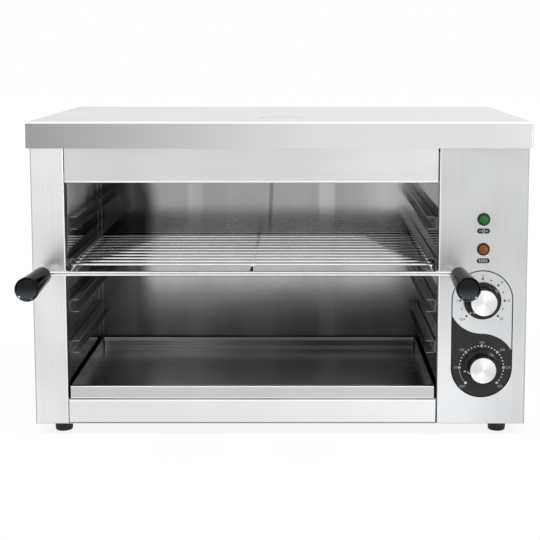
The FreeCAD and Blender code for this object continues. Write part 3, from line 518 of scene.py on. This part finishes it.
def new_pattern(name, sizes):
    """A Geometry Nodes tree with named inputs for its sizes, and those inputs as values."""
    tree = bpy.data.node_groups.new(name, "GeometryNodeTree")
    tree.interface.new_socket(name="Geometry", in_out="OUTPUT", socket_type="NodeSocketGeometry")
    for label, kind in sizes.items():
        tree.interface.new_socket(name=label, in_out="INPUT", socket_type="NodeSocket" + kind)
    entry = tree.nodes.new("NodeGroupInput")
    return tree, {label: Value(entry.outputs[label]) for label in sizes}


def end_pattern(geometry, material):
    """Ends a tree: real copies, with their material, out through the tree's output."""
    real = geometry.make("GeometryNodeRealizeInstances", {}, {0: geometry})
    painted = real.make("GeometryNodeSetMaterial", {}, {0: real, "Material": material})
    leave = real.tree.nodes.new("NodeGroupOutput")
    real.tree.links.new(painted.socket, leave.inputs[0])


def grown(name, tree, sizes, body):
    """The plain mesh that a tree makes with these sizes, riding on a body."""
    piece = bpy.data.objects.new(name, bpy.data.meshes.new(name))
    bpy.context.scene.collection.objects.link(piece)
    modifier = piece.modifiers.new(tree.name, "NODES")
    modifier.node_group = tree
    for item in tree.interface.items_tree:
        if item.item_type == "SOCKET" and item.name in sizes:
            modifier[item.identifier] = sizes[item.name]
    seen = piece.evaluated_get(bpy.context.evaluated_depsgraph_get())
    mesh = bpy.data.meshes.new_from_object(seen)
    piece.modifiers.remove(modifier)
    piece.data = mesh
    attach(piece, body)
    return piece


def line_of(count, step, first=(0.0, 0.0, 0.0)):
    """Points in a line, a step apart."""
    return count.make("GeometryNodeMeshLine", {}, {"Count": count, "Offset": step,
                                                   "Start Location": first})


def copied(points, piece, **more):
    """A copy of a piece on each point."""
    return points.make("GeometryNodeInstanceOnPoints", {}, {0: points, "Instance": piece, **more})


dots, given = new_pattern("dots_on_an_arc", {"Centre": "Vector", "Ring": "Float", "First": "Float",
                                            "Step": "Float", "Count": "Int", "Dot": "Float",
                                            "Ink": "Float", "Material": "Material"})
row = line_of(given["Count"], (0.0, 0.0, 0.0))
turn = row.make("GeometryNodeInputIndex", {}, {}) * given["Step"] + given["First"]
spot = turn.make("ShaderNodeCombineXYZ", {}, {0: given["Ring"] * turn.apply("SINE"), 1: 0.0,
                                              2: given["Ring"] * turn.apply("COSINE")})
ring = row.make("GeometryNodeSetPosition", {}, {0: row,
                                                "Position": spot.vector("ADD", given["Centre"])})
dot = row.make("GeometryNodeMeshCylinder", {}, {"Vertices": 20, "Radius": given["Dot"],
                                                "Depth": given["Ink"]})
end_pattern(copied(ring, dot, Rotation=(math.pi / 2, 0.0, 0.0)), given["Material"])


def dot_arc(name, z, first, step, count, dot_size, ink_of):
    """A row of printed dots round a dial, with its angles in degrees."""
    sizes = {"Centre": (dial_x, dot_front, z), "Ring": dot_ring,
             "First": math.radians(first), "Step": math.radians(step), "Count": count,
             "Dot": dot_size, "Ink": ink, "Material": ink_of[0]}
    grown(name, dots, sizes, "cabinet")


def numbers(name, z, readings, ink_of):
    """The printed numbers of a dial, as one mesh. Each reading has its angle in degrees and how
    far out its middle stands."""
    pieces = []
    for reading, angle, ring_size in readings:
        text = bpy.data.curves.new(name, "FONT")
        text.body = reading
        text.size = number_size
        text.align_x = "CENTER"
        text.align_y = "CENTER"
        text.extrude = ink / 2
        piece = placed("reading", text, ink_of, panel_y - ink, "cabinet")
        turn = math.radians(angle)
        piece.data.transform(Matrix.Translation((dial_x + ring_size * math.sin(turn), 0.0,
                                                 z + ring_size * math.cos(turn))))
        pieces.append(piece)
    with bpy.context.temp_override(active_object=pieces[0], object=pieces[0],
                                   selected_objects=pieces, selected_editable_objects=pieces):
        bpy.ops.object.join()
    pieces[0].name = name


dot_arc("timer_scale_major", timer_z, -135, 45, 7, timer_dot, black_ink)
dot_arc("timer_scale_minor", timer_z, -112.5, 45, 6, small_dot, black_ink)
dot_arc("thermostat_scale_major", thermostat_z, -135, 45, 7, thermostat_dot, white_ink)
dot_arc("thermostat_scale_minor", thermostat_z, -90, 9, 26, small_dot, white_ink)
thin_arc = arc(dial_x, thermostat_z, dot_ring, -129, -96, 16)
printed("thermostat_scale_arc", [band(thin_arc, scale_line)], white_ink, panel_y - ink)
numbers("timer_numbers", timer_z,
        [("OFF", -134, 0.0330), ("5", -90, 0.0303), ("10", -45, 0.0314), ("15", 0, 0.0302),
         ("20", 46, 0.0320), ("25", 90, 0.0316), ("30", 134, 0.0322)], grey_ink)
numbers("thermostat_numbers", thermostat_z,
        [("OFF", -136, 0.0328), ("50", -90, 0.0310), ("100", -48, 0.0324), ("150", 0, 0.0306),
         ("200", 49, 0.0330), ("250", 90, 0.0322), ("300", 136, 0.0326)], soft_white_ink)

# ---------------------------------------------------------------------------------------------
# Lamps: a green and an amber signal lamp, each a clear dome in a glossy black bezel, over a small
# black lozenge with a plain sign in white: a broken ring for mains, a row of waves for heat.


def round_face(name, place):
    """Where a place lies on a round piece that faces the front: sideways, upright and outwards."""
    sideways, forward, upright = place.vector("SUBTRACT", tuple(middle_of(name))).axes()
    return sideways, upright, (sideways * sideways + upright * upright).apply("SQRT")


def lens_finish(name, deep, bright):
    """A moulded clear lens, its colour painted: painted shade at its rim, painted light in its
    middle and painted glints along diagonal facets.
    """
    material, shader, place = new_finish(name, 0.0, 0.12, IOR=1.45, Specular_IOR_Level=0.3)
    sideways, upright, outwards = round_face(name, place)
    facet_glint = (upright * 900.0 + sideways * 500.0).apply("SINE")
    # Painted shade at the rim and painted glints along the facets.
    shade = (1 - outwards.ease(0.0046, 0.0062)) * 0.85 + facet_glint * 0.08 + 0.04
    feed(shader, Base_Color=shade.ease(0.0, 1.0).blend(deep, bright))
    return material


dress(lens_finish("power_lamp_lens", rgb(0.001, 0.026, 0.008), rgb(0.004, 0.20, 0.036)),
      "power_lamp_lens")
dress(lens_finish("heat_lamp_lens", rgb(0.050, 0.012, 0.001), rgb(0.33, 0.092, 0.004)),
      "heat_lamp_lens")
dress(speckled("lamp_bezel", 0.0, (700.0, 700.0, 700.0), 2.0, (0.3, 0.7), grey(0.010), grey(0.016),
               (0.22, 0.1), Specular_IOR_Level=0.3), "power_lamp_housing", "heat_lamp_housing")

lozenge_width = 0.0155
lozenge_height = 0.0061
lozenge_drop = 0.0140
lozenge_end = (lozenge_width - lozenge_height) / 2
sign_line = 0.0006
ring_radius = 0.0016
stem_low, stem_high = 0.0004, 0.0022
mains_near, mains_far = 0.0028, 0.0052
wave_gap = 0.0022
wave_height = 0.0036
wave_swing = 0.00045
wave_steps = 16
for lamp in ("power", "heat"):
    lens_middle = middle_of(lamp + "_lamp_lens")
    x, z = lens_middle.x, lens_middle.z - lozenge_drop
    lozenge = (arc(x + lozenge_end, z, lozenge_height / 2, 0, 180, 20)
               + arc(x - lozenge_end, z, lozenge_height / 2, 180, 360, 20))
    printed(lamp + "_lamp_lozenge", [lozenge], black_ink)
    if lamp == "power":
        sign = [band(arc(x, z, ring_radius, 35, 325, 30), sign_line),
                band([(x, z + stem_low), (x, z + stem_high)], sign_line)]
        sign += [band([(x + side * mains_near, z), (x + side * mains_far, z)], sign_line)
                 for side in (-1, 1)]
    else:
        sign = []
        for step in (-2, -1, 0, 1, 2):
            rise = [i / wave_steps for i in range(wave_steps + 1)]
            wave = [(x + step * wave_gap + wave_swing * math.sin(2 * math.pi * share),
                     z + wave_height * (share - 0.5)) for share in rise]
            sign.append(band(wave, sign_line))
    printed(lamp + "_lamp_sign", sign, white_ink, panel_y - ink)

# ---------------------------------------------------------------------------------------------
# Knobs: black moulded bodies with a flared skirt, a spun aluminium face let into the front, and
# two white dashes that point at the scale, one on the skirt and one on the body's front edge.

knob_black, shader, place = new_finish("knob_black", 0.0, 0.2, Specular_IOR_Level=0.3)
mould = place.noise((650.0, 650.0, 650.0), 3.0)
rubbed = place.noise((70.0, 70.0, 70.0), 4.0)
feed(shader, Base_Color=rubbed.ease(0.45, 0.8).blend(grey(0.008), grey(0.018)),
     Roughness=mould * 0.06 + rubbed * 0.10 + 0.04, Normal=place.relief(mould, 0.10, 0.00004))
dress(knob_black, "timer_knob", "thermostat_knob")


def spun_face(name):
    """Aluminium faced on a lathe: fine rings in its gloss and relief, and bright and dark sectors
    painted into its colour as the rings' reflection fanning out from the middle.
    """
    material, shader, place = new_finish(name, 1.0, 0.22)
    sideways, upright, outwards = round_face(name, place)
    turn = sideways.apply("ARCTAN2", upright)
    fan = turn.make("ShaderNodeTexNoise", {"noise_dimensions": "1D"},
                    {"W": turn * 1.3 + 4.0, "Scale": 1.6, "Detail": 3.0})
    # Painted reflection: bright and dark sectors round the middle of the face.
    reflection_sectors = (turn * 2.0 + 0.9).apply("SINE") * 0.5 + 0.5
    rings = turn.make("ShaderNodeTexNoise", {"noise_dimensions": "1D"},
                      {"W": outwards, "Scale": 5200.0, "Detail": 1.0})
    shade = (reflection_sectors * 0.55 + fan * 0.45).ease(0.2, 0.85)
    feed(shader, Base_Color=shade.blend(grey(0.71, -0.02), grey(0.95)),
         Roughness=rings * 0.12 + 0.18, Normal=place.relief(rings, 0.25, 0.00003))
    return material


dress(spun_face("timer_knob_cap"), "timer_knob_cap")
dress(spun_face("thermostat_knob_cap"), "thermostat_knob_cap")

dash_width = 0.0013
dash_lift = 0.00008
skirt_dash = [(0.0219, 0.00325), (0.0206, 0.00352), (0.0193, 0.00380)]
body_dash = [(0.01805, 0.0072), (0.01742, 0.0136), (0.01722, 0.01485), (0.01705, 0.0152),
             (0.01675, 0.0154), (0.01575, 0.0154)]


def knob_dash(name, middle, angle, path, body):
    """A white dash that follows the knob's surface, given as (radius, distance from the panel)."""
    turn = math.radians(angle)
    out = Vector((math.sin(turn), 0.0, math.cos(turn)))
    side = Vector((math.cos(turn), 0.0, -math.sin(turn)))
    corners = []
    for i, (radius, front) in enumerate(path):
        before, after = path[max(i - 1, 0)], path[min(i + 1, len(path) - 1)]
        run = Vector((after[0] - before[0], after[1] - before[1])).normalized()
        rise = Vector((run.y, -run.x))
        if rise.x + rise.y < 0:
            rise = -rise
        for lift in (dash_lift, -dash_lift):
            centre = (Vector((middle.x, panel_y, middle.z)) + out * (radius + rise.x * lift)
                      - Vector((0.0, front + rise.y * lift, 0.0)))
            corners += [centre - side * dash_width / 2, centre + side * dash_width / 2]
    faces = []
    for i in range(len(path) - 1):
        a, b = 4 * i, 4 * (i + 1)
        faces += [(a, a + 1, b + 1, b), (a + 2, b + 2, b + 3, a + 3), (a, b, b + 2, a + 2),
                  (a + 1, a + 3, b + 3, b + 1)]
    last = 4 * (len(path) - 1)
    faces += [(0, 2, 3, 1), (last, last + 1, last + 3, last + 2)]
    mesh = bpy.data.meshes.new(name)
    mesh.from_pydata([tuple(corner) for corner in corners], [], faces)
    mesh.materials.append(white_ink[0])
    piece = bpy.data.objects.new(name, mesh)
    bpy.context.scene.collection.objects.link(piece)
    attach(piece, body)


for control, middle, angle in (("timer", timer_middle, -135),
                               ("thermostat", thermostat_middle, -101)):
    knob_dash(control + "_skirt_dash", middle, angle, skirt_dash, control + "_control")
    knob_dash(control + "_body_dash", middle, angle, body_dash, control + "_control")

# ---------------------------------------------------------------------------------------------
# Back panel with its cable gland and screws: a louvred stainless sheet, brushed across, and a
# black moulded gland with a nut behind it.

dress(brushed_sheet("back_sheet", grey(0.60), grey(0.70), x_axis, 0.36), "back_panel")
dress(speckled("gland_black", 0.0, (500.0, 500.0, 500.0), 3.0, (0.3, 0.7), grey(0.014), grey(0.028),
               (0.4, 0.2), (0.2, 0.0001)), "cable_gland", "gland_nut")

screws, given = new_pattern("cross_head_screws", {
    "First": "Vector", "Step": "Vector", "Count": "Int", "Next": "Vector", "Rows": "Int",
    "Head Radius": "Float", "Head Height": "Float", "Shank Radius": "Float",
    "Shank Length": "Float", "Slot Width": "Float", "Material": "Material"})
skirt_share, dome_seat, dome_share = 0.7, 0.65, 0.34
shank_overlap = 0.0006
dome = given["Head Radius"].make("GeometryNodeMeshUVSphere", {}, {
    "Segments": 32, "Rings": 16, "Radius": given["Head Radius"]})
skirt = dome.make("GeometryNodeMeshCylinder", {}, {
    "Vertices": 32, "Radius": given["Head Radius"], "Depth": given["Head Height"] * skirt_share})
shank = dome.make("GeometryNodeMeshCylinder", {}, {
    "Vertices": 16, "Radius": given["Shank Radius"], "Depth": given["Shank Length"]})
squash = given["Head Height"] * dome_share / given["Head Radius"]
flat = squash.make("ShaderNodeCombineXYZ", {}, {0: 1.0, 1: 1.0, 2: squash})


def lifted(piece, rise, **more):
    """A piece of the screw moved up its axis."""
    up = rise.make("ShaderNodeCombineXYZ", {}, {2: rise})
    return piece.make("GeometryNodeTransform", {}, {0: piece, "Translation": up, **more})


dome = lifted(dome, given["Head Height"] * dome_seat, Scale=flat)
skirt = lifted(skirt, given["Head Height"] * (skirt_share / 2))
shank = lifted(shank, (given["Shank Length"] - shank_overlap) * -0.5)
solid = dome.make("GeometryNodeMeshBoolean", {"operation": "UNION"}, {1: dome})
for part in (skirt, shank):
    solid.tree.links.new(part.socket, solid.socket.node.inputs[1])
arm = given["Head Radius"] * 1.1
cuts = []
for long, wide in ((arm, given["Slot Width"]), (given["Slot Width"], arm)):
    size = arm.make("ShaderNodeCombineXYZ", {}, {0: long, 1: wide, 2: given["Head Height"]})
    bar = size.make("GeometryNodeMeshCube", {}, {"Size": size})
    cuts.append(lifted(bar, given["Head Height"]))
screw = solid.make("GeometryNodeMeshBoolean", {"operation": "DIFFERENCE"}, {0: solid, 1: cuts[0]})
screw.tree.links.new(cuts[1].socket, screw.socket.node.inputs[1])


def grid_of(given):
    """Points in rows, by a pattern's own sizes."""
    spread = copied(line_of(given["Rows"], given["Next"], given["First"]),
                    line_of(given["Count"], given["Step"]))
    return spread.make("GeometryNodeRealizeInstances", {}, {0: spread})


end_pattern(copied(grid_of(given), screw, Rotation=(-math.pi / 2, 0.0, 0.0)), given["Material"])

head_radius = 0.0034
head_height = 0.0020
shank_radius = 0.0017
shank_length = 0.0076
slot_width = 0.0009
for name, count, row_count in (("back_panel_screws", 2, 4), ("cover_screws", 3, 1)):
    screws_low, screws_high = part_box(name)
    left, right = screws_low.x + head_radius, screws_high.x - head_radius
    bottom, top = screws_low.z + head_radius, screws_high.z - head_radius
    heads = grown(name + "_heads", screws, {
        "First": (left, screws_high.y - head_height, bottom),
        "Step": ((right - left) / (count - 1), 0.0, 0.0), "Count": count,
        "Next": (0.0, 0.0, (top - bottom) / max(row_count - 1, 1)), "Rows": row_count,
        "Head Radius": head_radius, "Head Height": head_height, "Shank Radius": shank_radius,
        "Shank Length": shank_length, "Slot Width": slot_width, "Material": plated},
        "cabinet")
    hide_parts(name)

# ---------------------------------------------------------------------------------------------
# Top cover: one stainless sheet with four lips folded down over the body and welded at the
# corners. The shallow pressed round in its top is left blank. Its front lip carries a painted
# reflection, dark at the left and lighter towards the right, its top is painted darker as shade
# and lighter to the right, and its front fold carries a painted highlight.

cover_low, cover_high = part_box("top_cover")
cover_finish, shader, place = new_finish("cover_sheet", 1.0, 0.32)
across, depth, height = place.axes()
fine = place.noise((grain_along, grain_across, grain_across))
cloud = place.noise((5.0, 5.0, 5.0), 3.0)
grain = (fine * 0.3 + cloud * 0.7).ease(0.3, 0.7)
top_face = height.ease(cover_high.z - 0.0018, cover_high.z - 0.0004)
front_lip = 1 - depth.ease(cover_low.y + 0.0008, cover_low.y + 0.0020)
plain_sheet = grain.blend(grey(0.66), grey(0.76))
# Painted reflection on the front lip: dark at the left, lighter towards the middle and right.
lip_tone = (across * 3.0 + 0.88).apply("MINIMUM", 1.0).apply("MAXIMUM", 0.0)
lip_tone = lip_tone.blend(grey(0.33), grey(0.70))
lip_tone = (across.ease(0.12, 0.30) * 0.5).blend(lip_tone, grey(0.58))
seen = (front_lip * 0.97).blend(plain_sheet, lip_tone)
# The top is painted darker than the lips as shade, and lighter towards the right.
top_tone = (across * 1.2 + 0.5).ease(0.0, 1.0)
seen = top_face.blend(seen, top_tone.blend(grain.blend(grey(0.60), grey(0.68)), grey(0.70)))
# Painted highlight along the front fold.
fold_highlight = painted_edge_line(height, [cover_high.z - 0.0012], 0.0014) * front_lip
seen = fold_highlight.blend(seen, grey(0.98))
feed(shader, Base_Color=seen, Roughness=fine * 0.10 + cloud * 0.06 + 0.24,
     Normal=place.relief(fine, 0.1, 0.00004))
dress(cover_finish, "top_cover")

# ---------------------------------------------------------------------------------------------
# Drip tray: a shallow stainless pan with a boxed front lip. The pan is darker than the lip, painted
# lighter to the left, to the right and on its side walls as reflected light, and painted dark at
# the rear and in its rear corners as shade. Painted highlight lines run along the lip's edges,
# the rim and the rear wall.

tray_low, tray_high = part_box("drip_tray")
tray_finish, shader, place = new_finish("tray_sheet", 1.0, 0.22)
across, depth, height = place.axes()
fine = place.noise((grain_along, grain_across, grain_across))
haze = place.noise((10.0, 10.0, 10.0), 4.0)
pan = haze.ease(0.3, 0.7).blend(grey(0.18), grey(0.26))
# Painted reflected light: the pan lighter to the left and to the right.
pan = (1 - across.ease(-0.24, -0.02)).blend(pan, grey(0.72))
pan = (across.ease(0.0, 0.12) * 0.6).blend(pan, grey(0.45))
# Side walls painted lighter, as reflected light.
wall_from, wall_to = 0.0012, 0.0018
walled = (1 - across.ease(tray_low.x + wall_from, tray_low.x + wall_to)
          + across.ease(tray_high.x - wall_to, tray_high.x - wall_from))
pan = walled.blend(pan, grey(0.80))
lip = haze.ease(0.3, 0.7).blend(grey(0.54), grey(0.60))
front = 1 - depth.ease(tray_low.y + 0.0010, tray_low.y + 0.0016)
rear = depth.ease(tray_high.y - 0.005, tray_high.y - 0.002)
# Painted shade on the rear wall, darker still in its corners.
seen = (rear * 0.6).blend(pan, grey(0.06))
shade_free_x = -0.07
sides = abs(across - shade_free_x).ease(0.04, 0.13)
seen = (sides * rear * 0.68).blend(seen, grey(0.01))
# Painted highlight lines at the foot and top of the rear wall.
bottom_fold = painted_edge_line(height, [tray_low.z + 0.0022], 0.0012) * rear
seen = (bottom_fold * 0.5).blend(seen, grey(0.30))
rear_rim = height.ease(tray_high.z - 0.005, tray_high.z - 0.0035) * rear
seen = (rear_rim * 0.7).blend(seen, grey(0.26))
seen = front.blend(seen, lip)
# Painted highlight along the rim, and painted highlight lines on the lip's top and bottom edges.
rim = height.ease(tray_high.z - 0.0014, tray_high.z - 0.0004)
seen = (rim * (1 - front) * 0.6).blend(seen, grey(0.34))
bright = painted_edge_line(height, [tray_low.z + cut_inset, tray_high.z - cut_inset], 0.0014) * front
seen = bright.blend(seen, grey(0.95))
feed(shader, Base_Color=seen, Roughness=fine * 0.1 + haze * 0.1 + 0.14)
dress(tray_finish, "drip_tray")

# ---------------------------------------------------------------------------------------------
# Rack: eleven chromed wires with rounded ends, welded across three rods that run from front to
# back, and one heavier bar across the front.

chrome = speckled("rack_chrome", 1.0, (90.0, 90.0, 90.0), 4.0, (0.3, 0.75),
                  grey(0.88, 0.015), grey(0.97, 0.015), (0.05, 0.12))

bar_low, bar_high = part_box("rack_front_bar")
bar_z = (bar_low.z + bar_high.z) / 2
bar_chrome, shader, place = new_finish("bar_chrome", 1.0, 0.08)
wear = place.noise((90.0, 90.0, 90.0), 4.0)
across, depth, height = place.axes()
# A painted dark reflection line along the bar.
line_z = bar_z + 0.0004
bar_reflection_line = 1 - abs(height - line_z).ease(0.0002, 0.0007)
seen = wear.ease(0.3, 0.75).blend(grey(0.80), grey(0.90))
feed(shader, Base_Color=(bar_reflection_line * 0.85).blend(seen, grey(0.12)),
     Roughness=wear * 0.10 + 0.03)
dress(bar_chrome, "rack_front_bar")

rods, given = new_pattern("rounded_rods", {"First": "Vector", "Step": "Vector", "Count": "Int",
                                           "Turn": "Vector", "Length": "Float", "Radius": "Float",
                                           "Material": "Material"})
row = line_of(given["Count"], given["Step"], given["First"])
facet_gain = 1.0154  # flat facets would make the wire thinner
ball_radius = given["Radius"] * facet_gain
ball = row.make("GeometryNodeMeshUVSphere", {}, {"Segments": 14, "Rings": 9,
                                                 "Radius": ball_radius})
spot = ball.make("GeometryNodeInputPosition", {}, {})
upright = spot.axes()[2]
pull = upright.apply("SIGN") * (given["Length"] / 2 - ball_radius)
drawn = ball.make("GeometryNodeSetPosition", {}, {
    0: ball, "Offset": pull.make("ShaderNodeCombineXYZ", {}, {2: pull})})
smooth = drawn.make("GeometryNodeSetShadeSmooth", {}, {0: drawn})
end_pattern(copied(row, smooth, Rotation=given["Turn"]), given["Material"])

grid_low, grid_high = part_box("rack_grid")
wire_count = 11
rod_count = 3
wire_radius = 0.0015
rod_radius = 0.0025
rod_z = grid_low.z + rod_radius
wire_z = grid_high.z - wire_radius
first_wire_y, last_wire_y = -0.100, 0.116
wire_step = (last_wire_y - first_wire_y) / (wire_count - 1)
rod_xs = (grid_low.x + rod_radius, grid_high.x - rod_radius)
rod_step = (rod_xs[1] - rod_xs[0]) / (rod_count - 1)
wires = grown("rack_wires", rods, {
    "First": ((grid_low.x + grid_high.x) / 2, first_wire_y, wire_z), "Step": (0.0, wire_step, 0.0),
    "Count": wire_count, "Turn": (0.0, math.pi / 2, 0.0), "Length": grid_high.x - grid_low.x,
    "Radius": wire_radius, "Material": chrome}, "rack")
rails = grown("rack_rods", rods, {
    "First": (rod_xs[0], (grid_low.y + grid_high.y) / 2, rod_z), "Step": (rod_step, 0.0, 0.0),
    "Count": rod_count, "Turn": (math.pi / 2, 0.0, 0.0), "Length": grid_high.y - grid_low.y,
    "Radius": rod_radius, "Material": chrome}, "rack")

beads, given = new_pattern("weld_beads", {"First": "Vector", "Step": "Vector", "Count": "Int",
                                          "Next": "Vector", "Rows": "Int", "Bead": "Vector",
                                          "Material": "Material"})
places = grid_of(given)
drop = places.make("GeometryNodeMeshIcoSphere", {}, {"Radius": 1.0, "Subdivisions": 2})
smooth = drop.make("GeometryNodeSetShadeSmooth", {}, {0: drop})
end_pattern(copied(places, smooth, Scale=given["Bead"]), given["Material"])
bead_radius = 0.0021
bead_height = 0.0010
bead_z = rod_z + rod_radius * 0.8
welds = grown("rack_welds", beads, {
    "First": (rod_xs[0], first_wire_y, bead_z), "Step": (0.0, wire_step, 0.0),
    "Count": wire_count, "Next": (rod_step, 0.0, 0.0), "Rows": rod_count,
    "Bead": (bead_radius, bead_radius, bead_height), "Material": chrome}, "rack")
for piece in (wires, rails, welds):
    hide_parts("rack_grid")

# ---------------------------------------------------------------------------------------------
# Handles: two turned grips in glossy black plastic, wider towards the dished end, pushed onto
# the ends of the rack's bar. The gloss is a dark, tinted mirror, which shows the surround even
# where it is seen straight on. The lower half of the dished end is painted lighter, as the light
# that it catches.

grip, shader, place = new_finish("handle_gloss", 1.0, 0.14, Specular_Tint=grey(0.45))
peel = place.noise((160.0, 160.0, 160.0), 2.0)
rubbed = place.noise((45.0, 45.0, 45.0), 4.0)
grip_low, grip_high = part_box("rack_handle_left")
grip_z = (grip_low.z + grip_high.z) / 2
across, depth, height = place.axes()
dish = 1 - depth.ease(grip_low.y + 0.0017, grip_low.y + 0.0022)
# Painted light on the lower half of the dished end.
painted_dish_light = (grip_z - height).ease(-0.002, 0.009) * dish
seen = rubbed.ease(0.5, 0.85).blend(grey(0.016), grey(0.026))
feed(shader, Base_Color=painted_dish_light.blend(seen, rgb(0.058, 0.064, 0.070)),
     Roughness=rubbed * 0.10 + 0.05, Normal=place.relief(peel, 0.05, 0.0002))
dress(grip, "rack_handle_left", "rack_handle_right")

# ---------------------------------------------------------------------------------------------
# Floor, light and camera: a pale floor without an edge in view, a white surround that metal
# shows too, four soft lamps, and a viewpoint close to the photograph's own.


def seen_rays(tree):
    """1 for rays that see the surround, straight or in metal or glass."""
    path = tree.nodes.new("ShaderNodeLightPath")
    camera_ray, glossy_ray, clear_ray = [Value(path.outputs["Is %s Ray" % kind])
                                         for kind in ("Camera", "Glossy", "Transmission")]
    return (camera_ray + glossy_ray + clear_ray).apply("MINIMUM", 1.0)


floor_mesh = bpy.data.meshes.new("floor")
floor_half = 9.0
floor_mesh.from_pydata([(-floor_half, -floor_half, 0), (floor_half, -floor_half, 0),
                        (floor_half, floor_half, 0), (-floor_half, floor_half, 0)],
                       [], [(0, 1, 2, 3)])
floor = bpy.data.objects.new("floor", floor_mesh)
bpy.context.scene.collection.objects.link(floor)
floor_finish = bpy.data.materials.new("floor_pale")
floor_finish.use_nodes = True
floor_tree = floor_finish.node_tree
floor_tree.nodes.clear()
floor_mesh.materials.append(floor_finish)
matt = add_node(floor_tree, "ShaderNodeBsdfDiffuse", {}, {"Color": grey(0.90)})
glow = add_node(floor_tree, "ShaderNodeEmission", {}, {"Color": grey(1.0), "Strength": 1.08})
place = add_node(floor_tree, "ShaderNodeTexCoord", {}, {}, 3)
away = place.vector("LENGTH", output=1).ease(0.4, 1.6)
both = add_node(floor_tree, "ShaderNodeMixShader", {}, {
    0: seen_rays(floor_tree) * (away * 0.22 + 0.78), 1: matt, 2: glow})
floor_out = floor_tree.nodes.new("ShaderNodeOutputMaterial")
floor_tree.links.new(both.socket, floor_out.inputs[0])

world = bpy.data.worlds.new("studio")
bpy.context.scene.world = world
world.use_nodes = True
sky_tree = world.node_tree
sky_tree.nodes.clear()
plain = add_node(sky_tree, "ShaderNodeBackground", {}, {"Color": grey(1.0), "Strength": 0.45})
white = add_node(sky_tree, "ShaderNodeBackground", {}, {"Color": grey(1.0), "Strength": 1.0})
either = add_node(sky_tree, "ShaderNodeMixShader", {}, {0: seen_rays(sky_tree), 1: plain, 2: white})
sky_out = sky_tree.nodes.new("ShaderNodeOutputWorld")
sky_tree.links.new(either.socket, sky_out.inputs[0])


def soft_lamp(name, place, aim, width, depth, power):
    """A softbox at a place, pointed at another, with its size and its watts."""
    light = bpy.data.lights.new(name, "AREA")
    light.shape = "RECTANGLE"
    light.size = width
    light.size_y = depth
    light.energy = power
    lamp = bpy.data.objects.new(name, light)
    lamp.location = place
    lamp.rotation_euler = (Vector(aim) - Vector(place)).to_track_quat("-Z", "Y").to_euler()
    bpy.context.scene.collection.objects.link(lamp)


soft_lamp("key_light", (-2.6, -0.9, 3.0), (0.0, 0.0, 0.2), 1.1, 0.9, 50.0)
soft_lamp("fill_light", (2.7, -0.7, 3.0), (0.1, 0.0, 0.2), 1.0, 0.8, 40.0)
soft_lamp("top_light", (0.0, 0.3, 2.2), (0.0, 0.1, 0.3), 3.2, 2.6, 6.0)
soft_lamp("low_light", (1.3, -1.7, 0.25), (-0.1, -0.2, 0.2), 0.9, 0.10, 3.5)

camera = bpy.data.objects.new("camera", bpy.data.cameras.new("camera"))
bpy.context.scene.collection.objects.link(camera)
looks_down = 6.37
camera.location = (0.0245, -1.5447, 0.4715)
camera.rotation_euler = (math.radians(90 - looks_down), 0.0, 0.0)
camera.data.sensor_width = 36.0
camera.data.lens = 80.44
camera.data.shift_x = -0.056
camera.data.shift_y = -0.17
bpy.context.scene.camera = camera
bpy.context.scene.view_settings.view_transform = "Standard"
